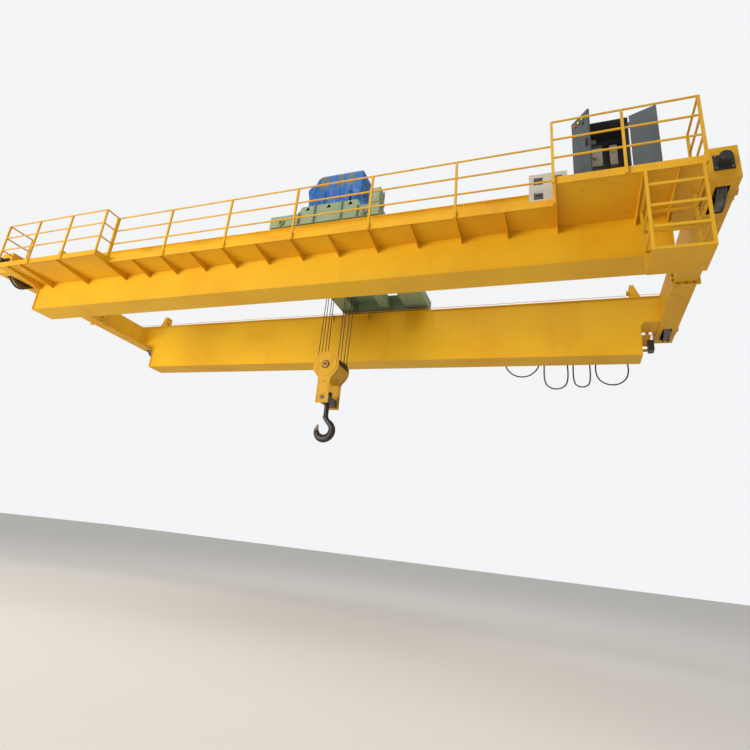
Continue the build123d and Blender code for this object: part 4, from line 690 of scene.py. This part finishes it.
# The cloth then settles over a plain form of the gearcase and motor, with its hem held.
case_front, case_back = -1.335, -0.925
tied = tarpaulin.vertex_groups.new(name="tied_hem")
hem_points = {near_point(spot, 4) for spot in hem_places}
on_hem = [vert.index for vert in tarpaulin.data.vertices if near_point(vert.co, 4) in hem_points]
tied.add(on_hem, 1, "REPLACE")
machine = bmesh.new()
left, front = tarp_low[:2]
right, back = tarp_high[:2]
for low, high in (((left + 0.07, front + 0.07, 2.02), (right - 0.07, back - 0.06, 2.26)),
                  ((left + 0.33, front + 0.07, 2.10), (right - 0.07, back - 0.06, 2.515)),
                  ((0.328, case_front, 1.40), (1.442, case_back + 0.003, 2.532)),
                  ((left + 0.16, front + 0.15, 1.45), (right - 0.16, back - 0.08, 2.10))):
    plate(machine, low, high, 0.05)
form_mesh = bpy.data.meshes.new("machine_form")
machine.to_mesh(form_mesh)
machine.free()
form = bpy.data.objects.new("machine_form", form_mesh)
scene.collection.objects.link(form)
form.modifiers.new("Collision", "COLLISION")
form.collision.thickness_outer = 0.008
form.collision.cloth_friction = 12
drape_frames = 30
drape = tarpaulin.modifiers.new("Drape", "CLOTH")
drape.settings.quality = 6
drape.settings.mass = 0.25
drape.settings.tension_stiffness = 20
drape.settings.compression_stiffness = 20
drape.settings.shear_stiffness = 8
drape.settings.bending_stiffness = 0.6
drape.settings.vertex_group_mass = "tied_hem"
drape.collision_settings.distance_min = 0.008
drape.collision_settings.collision_quality = 3
drape.point_cache.frame_end = drape_frames
for step in range(1, drape_frames + 1):
    scene.frame_set(step)
settled = tarpaulin.evaluated_get(bpy.context.evaluated_depsgraph_get())
shaped = bpy.data.meshes.new_from_object(settled)
tarpaulin.modifiers.clear()
tarpaulin.vertex_groups.clear()
tarpaulin.data = shaped
bpy.data.objects.remove(form)
scene.frame_set(1)

# The hook block's cheeks are flame-cut plate with round covers, in yellow enamel that is
# worn and greasy. Keeper plates and bolts hold the sheave axle and the trunnion.
block_paint = enamel("block_enamel", (0.68, 0.37, 0.018), (0.52, 0.26, 0.014), dirt=0.7, rough=0.42,
                     grime=(0.11, 0.075, 0.035))
paint(block_paint, "hook_block_frame")
worn_steel = bare("worn_steel", (0.12, 0.105, 0.09), (0.07, 0.06, 0.055), 0.4, 0.8)
cover_out, cheek_out, axle_out = 0.354, 0.340, 0.3835
trunnion_z, guard_bolt_z, keeper_thick = -2.31, block_axis - 0.41, 0.012
hub_rings = bmesh.new()
keepers = bmesh.new()
for out in (-1, 1):
    facing = (0, out, 0)
    cheek_face = out * cheek_out
    keeper_face = cheek_face + out * keeper_thick
    near, far = sorted((cheek_face, keeper_face))
    round_bar(hub_rings, (hook_x, out * cover_out, block_axis), facing, 0.006, 0.104, 40, 0.100)
    round_bar(hub_rings, (hook_x, out * axle_out, block_axis), facing, 0.024, 0.040, 6)
    plate(keepers, (hook_x - 0.05, near, trunnion_z + 0.055),
          (hook_x + 0.05, far, trunnion_z + 0.10), 0.002)
    for x in (-0.034, 0.034):
        bolt(keepers, (hook_x + x, keeper_face, trunnion_z + 0.078), facing, 0.022)
    bolt(keepers, (hook_x, cheek_face, guard_bolt_z), facing, 0.036)
    round_bar(keepers, (hook_x, out * axle_out, block_axis), facing, 0.006, 0.058, 32, 0.054)
fitted("block_hub_rings", hub_rings, "hook_block", worn_steel)
fitted("block_keeper_plates", keepers, "hook_block", block_paint)

# The hook is one steel forging, dark with scale and rubbed bright at its tip. Its shank
# passes through the forged crosshead and is held by a nut, which a bolted strip locks.
hook_tip = (0.16, 0, -2.90)
forging, place = start_finish("hook_forging")
scale = place.noise(0.05, detail=6, rough=0.65)
from_tip = place.node("VectorMath", {"operation": "DISTANCE"}, {0: place, 1: hook_tip}, out=1)
rubbed = (1 - from_tip.ease(0.05, 0.16)) * scale.ease(0.30, 0.55)
dark = scale.ease(0.45, 0.7).blend((0.045, 0.040, 0.038, 1), (0.085, 0.065, 0.05, 1))
close_finish(forging, place, rubbed.blend(dark, (0.55, 0.50, 0.44, 1)), 0.42 - rubbed * 0.12,
             metal=0.75, bump=scale, depth=0.0015)
paint(forging, "hook")
paint(worn_steel, "crosshead")
strip_foot, strip_top = -2.1155, -2.103
locked = bmesh.new()
plate(locked, (hook_x - 0.012, -0.08, strip_foot), (hook_x + 0.012, 0.08, strip_top), 0.002)
for y in (-0.055, 0.055):
    bolt(locked, (hook_x, y, strip_top), (0, 0, 1), 0.016)
fitted("hook_nut_lock", locked, "load_hook", worn_steel)

# The control cabinet is folded sheet steel in grey-blue enamel, and stands open. Each leaf
# has a moulded black grip, and the left one three indicator lamps and a selector knob.
grey_paint = enamel("cabinet_enamel", (0.080, 0.096, 0.108), (0.058, 0.070, 0.082), dirt=0.2)
paint(grey_paint, "cabinet_body", "cabinet_left_door", "cabinet_right_door", "festoon_junction_box")
black_plastic = sheath("black_plastic", (0.022, 0.022, 0.024))
hinge_y, leaf_foot, leaf_thick, leaf_width = -3.071, 0.155, 0.030, 0.417
escutcheon, lamp_pitch, lamp_z, lamp_radius, knob_z = 0.004, 0.09, 1.46, 0.0165, 1.375
lamps = (("red", (0.80, 0.03, 0.02)), ("yellow", (0.85, 0.42, 0.02)), ("green", (0.02, 0.55, 0.12)))


def lens(name, colour):
    """A coloured lamp lens, which glows a little."""
    material, place = start_finish(name)
    shader = place.node("BsdfPrincipled", None, {"Base Color": (*colour, 1), "Roughness": 0.15,
                                                  "Emission Color": (*colour, 1), "Emission Strength": 1.2})
    place.node("OutputMaterial", None, {"Surface": shader})
    return material


for leaf, hinge_x, reach, opened in (("left", 5.77, 1, -53), ("right", 6.61, -1, 158)):
    turned = math.radians(opened)
    along = Vector((reach * math.cos(turned), reach * math.sin(turned), 0))
    outward = Vector((along.y, -along.x, 0)) * reach
    hung = Matrix((along, outward, Vector((0, 0, 1)))).transposed().to_4x4()
    hung.translation = (hinge_x, hinge_y, leaf_foot)
    grip = bmesh.new()
    plate(grip, (leaf_width - 0.067, leaf_thick - 0.001, 0.874),
          (leaf_width - 0.037, leaf_thick + 0.030, 1.007), 0.006)
    plate(grip, (leaf_width - 0.072, leaf_thick, 0.860),
          (leaf_width - 0.032, leaf_thick + escutcheon, 1.021), 0.0015)
    round_bar(grip, (leaf_width - 0.052, leaf_thick + escutcheon, 1.009), (0, 1, 0), 0.004, 0.007, 16)
    if leaf == "left":
        knob_x = leaf_width / 2 + lamp_pitch
        round_bar(grip, (knob_x, leaf_thick, knob_z), (0, 1, 0), 0.008, 0.020, 24)
        plate(grip, (knob_x - 0.006, leaf_thick + 0.008, knob_z - 0.018),
              (knob_x + 0.006, leaf_thick + 0.026, knob_z + 0.018), 0.002)
        for n, (lamp_name, colour) in enumerate(lamps):
            glass = bmesh.new()
            seat = Matrix.Translation((leaf_width / 2 + lamp_pitch * (n - 1), leaf_thick + 0.022, lamp_z))
            bmesh.ops.create_uvsphere(glass, u_segments=24, v_segments=12, radius=lamp_radius,
                                      matrix=hung @ seat @ Matrix.Diagonal((1, 0.7, 1, 1)))
            glow = lens(f"{lamp_name}_lens", colour)
            fitted(f"{lamp_name}_lamp_lens", glass, "left_door", glow, 80)
    bmesh.ops.transform(grip, matrix=hung, verts=grip.verts)
    fitted(f"{leaf}_door_grip", grip, f"{leaf}_door", black_plastic)

# Inside the cabinet a steel plate carries the breaker, rows of contactors and terminals, and
# slotted cable ducts. The devices are moulded in dark and ivory plastic and clip onto rails.
# The mounting plate's near-black enamel is painted shade: it stands for the shadow deep inside the open
# cabinet, not for the plate's own colour.
painted_shade_paint = enamel("painted_shade_enamel", (0.055, 0.060, 0.062), (0.04, 0.045, 0.047), dirt=0.15)
ivory_plastic = enamel("ivory_plastic", (0.50, 0.47, 0.36), (0.42, 0.40, 0.31), dirt=0.15, rough=0.5)
paint(painted_shade_paint, "cabinet_equipment")
plate_front = -2.677


def device(bm, across, depths, heights, soft=0.0):
    """A moulded device between two places across, two depths in front of the plate and two heights."""
    plate(bm, (across[0], plate_front - depths[1], heights[0]),
          (across[1], plate_front - depths[0], heights[1]), soft)


contactors = [5.92 + 0.105 * n for n in range(5)]
ducts = bmesh.new()
for z in (0.47, 0.84, 1.50):
    device(ducts, (5.88, 6.50), (0, 0.045), (z, z + 0.04), 0.002)
    for n in range(30):
        slot_x = 5.895 + 0.02 * n
        device(ducts, (slot_x, slot_x + 0.007), (0.044, 0.047), (z + 0.008, z + 0.032))
for x in contactors:
    device(ducts, (x, x + 0.078), (0, 0.085), (0.60, 0.715), 0.004)
    device(ducts, (x + 0.006, x + 0.072), (0.08, 0.105), (0.628, 0.69), 0.004)
fitted("contactors_and_ducts", ducts, "bridge", black_plastic)
devices = bmesh.new()
device(devices, (5.985, 6.215), (0.169, 0.185), (0.99, 1.36), 0.006)
device(devices, (6.07, 6.13), (0.183, 0.215), (1.14, 1.21), 0.005)
device(devices, (6.33, 6.45), (0, 0.14), (1.02, 1.42), 0.008)
device(devices, (6.35, 6.43), (0.138, 0.148), (1.26, 1.38), 0.003)
screw_depth, screw_pitch = 0.0845, 0.024
for x in contactors:
    for z in (0.606, 0.700):
        for k in range(3):
            round_bar(devices, (x + 0.015 + screw_pitch * k, plate_front - screw_depth, z + 0.004),
                      (0, -1, 0), 0.005, 0.007, 12)
for n in range(24):
    terminal_x = 5.90 + 0.024 * n
    device(devices, (terminal_x, terminal_x + 0.020), (0, 0.045), (0.335, 0.39), 0.0015)
for n in range(8):
    fuse_x = 5.93 + 0.027 * n
    device(devices, (fuse_x, fuse_x + 0.0255), (0, 0.062), (1.575, 1.655), 0.002)
    device(devices, (fuse_x + 0.008, fuse_x + 0.0175), (0.060, 0.078), (1.608, 1.622), 0.002)
fitted("breaker_and_terminals", devices, "bridge", ivory_plastic)

# The resistor box is a pale sheet case. Behind its woven-wire vents stand the resistor tubes,
# wound in rows on ceramic, which get hot as the crane starts and stops.
beige_paint = enamel("resistor_enamel", (0.60, 0.59, 0.52), (0.50, 0.49, 0.43), dirt=0.25)
paint(beige_paint, "resistor_box")
resistor_x, vent_z, column_out, row_gap = 5.35, 0.545, 0.155, 0.3
vent_front, vent_side, wire_gap, wire_radius, wires_out = -2.871, 0.150, 0.0135, 0.0012, 5
mesh_wires = bmesh.new()
for column in (-column_out, column_out):
    for row in (-row_gap, 0.0, row_gap):
        x, z = resistor_x + column, vent_z + row
        for n in range(-wires_out, wires_out + 1):
            shift = wire_gap * n
            round_bar(mesh_wires, (x + shift, vent_front, z - vent_side / 2), (0, 0, 1),
                      vent_side, wire_radius, 6)
            round_bar(mesh_wires, (x - vent_side / 2, vent_front + 0.0015, z + shift), (1, 0, 0),
                      vent_side, wire_radius, 6)
fitted("resistor_vent_mesh", mesh_wires, "bridge", zinc)
tube_left, tube_length, tube_radius, coil_radius, coil_pitch = 5.07, 0.56, 0.022, 0.028, 0.02
tubes = bmesh.new()
for z in (0.20, 0.32, 0.50, 0.62, 0.80, 0.90):
    for y in (-2.80, -2.68):
        round_bar(tubes, (tube_left, y, z), (1, 0, 0), tube_length, tube_radius, 16)
        for n in range(26):
            round_bar(tubes, (tube_left + 0.025 + coil_pitch * n, y, z), (1, 0, 0), 0.006, coil_radius, 12)
# The tubes take the same near-black enamel, painted shade for the inside of the box.
fitted("resistor_tubes", tubes, "bridge", painted_shade_paint)

# The shop: a plain pale floor well under the hook, and soft light from low in front, low
# on the left and above. None of it belongs to the crane.
floor_mesh = bpy.data.meshes.new("shop_floor")
floor_z, floor_size = -7.05, 120
ground = bmesh.new()
bmesh.ops.create_grid(ground, x_segments=1, y_segments=1, size=floor_size,
                      matrix=Matrix.Translation((0, 0, floor_z)))
ground.to_mesh(floor_mesh)
ground.free()
shop_floor = bpy.data.objects.new("shop_floor", floor_mesh)
scene.collection.objects.link(shop_floor)
concrete, place = start_finish("pale_floor")
wash = place.noise(3.0, detail=3)
close_finish(concrete, place, wash.blend((0.80, 0.79, 0.77, 1), (0.84, 0.83, 0.81, 1)), 0.7)
floor_mesh.materials.append(concrete)

sky = bpy.data.worlds.new("soft_sky")
scene.world = sky
sky.use_nodes = True
sky.node_tree.nodes.clear()
seen = sky.node_tree.nodes.new("ShaderNodeLightPath")
air = Shade(sky.node_tree, seen.outputs["Is Camera Ray"])
lit = air.node("Background", None, {0: (1.0, 0.985, 0.96, 1), 1: 0.52})
backdrop = air.node("Background", None, {0: (0.90, 0.91, 0.92, 1), 1: 1.0})
air.node("OutputWorld", None, {"Surface": air.node("MixShader", None, {0: air, 1: lit, 2: backdrop})})

for name, spot, aim, size, power in (
        ("window_light", (-11, -20, -3.0), (0, -2, 0), 9, 1750),
        ("side_light", (-15, -3, -5.0), (1, 0.5, 1), 3.5, 180),
        ("roof_light", (2, -6, 14), (0, 0, 0), 14, 900)):
    lamp = bpy.data.lights.new(name, "AREA")
    lamp.size = size
    lamp.energy = power
    lamp.color = (1.0, 0.97, 0.92)
    lamp.spread = math.radians(125)
    holder = bpy.data.objects.new(name, lamp)
    holder.location = spot
    holder.rotation_euler = (Vector(aim) - Vector(spot)).to_track_quat("-Z", "Y").to_euler()
    scene.collection.objects.link(holder)
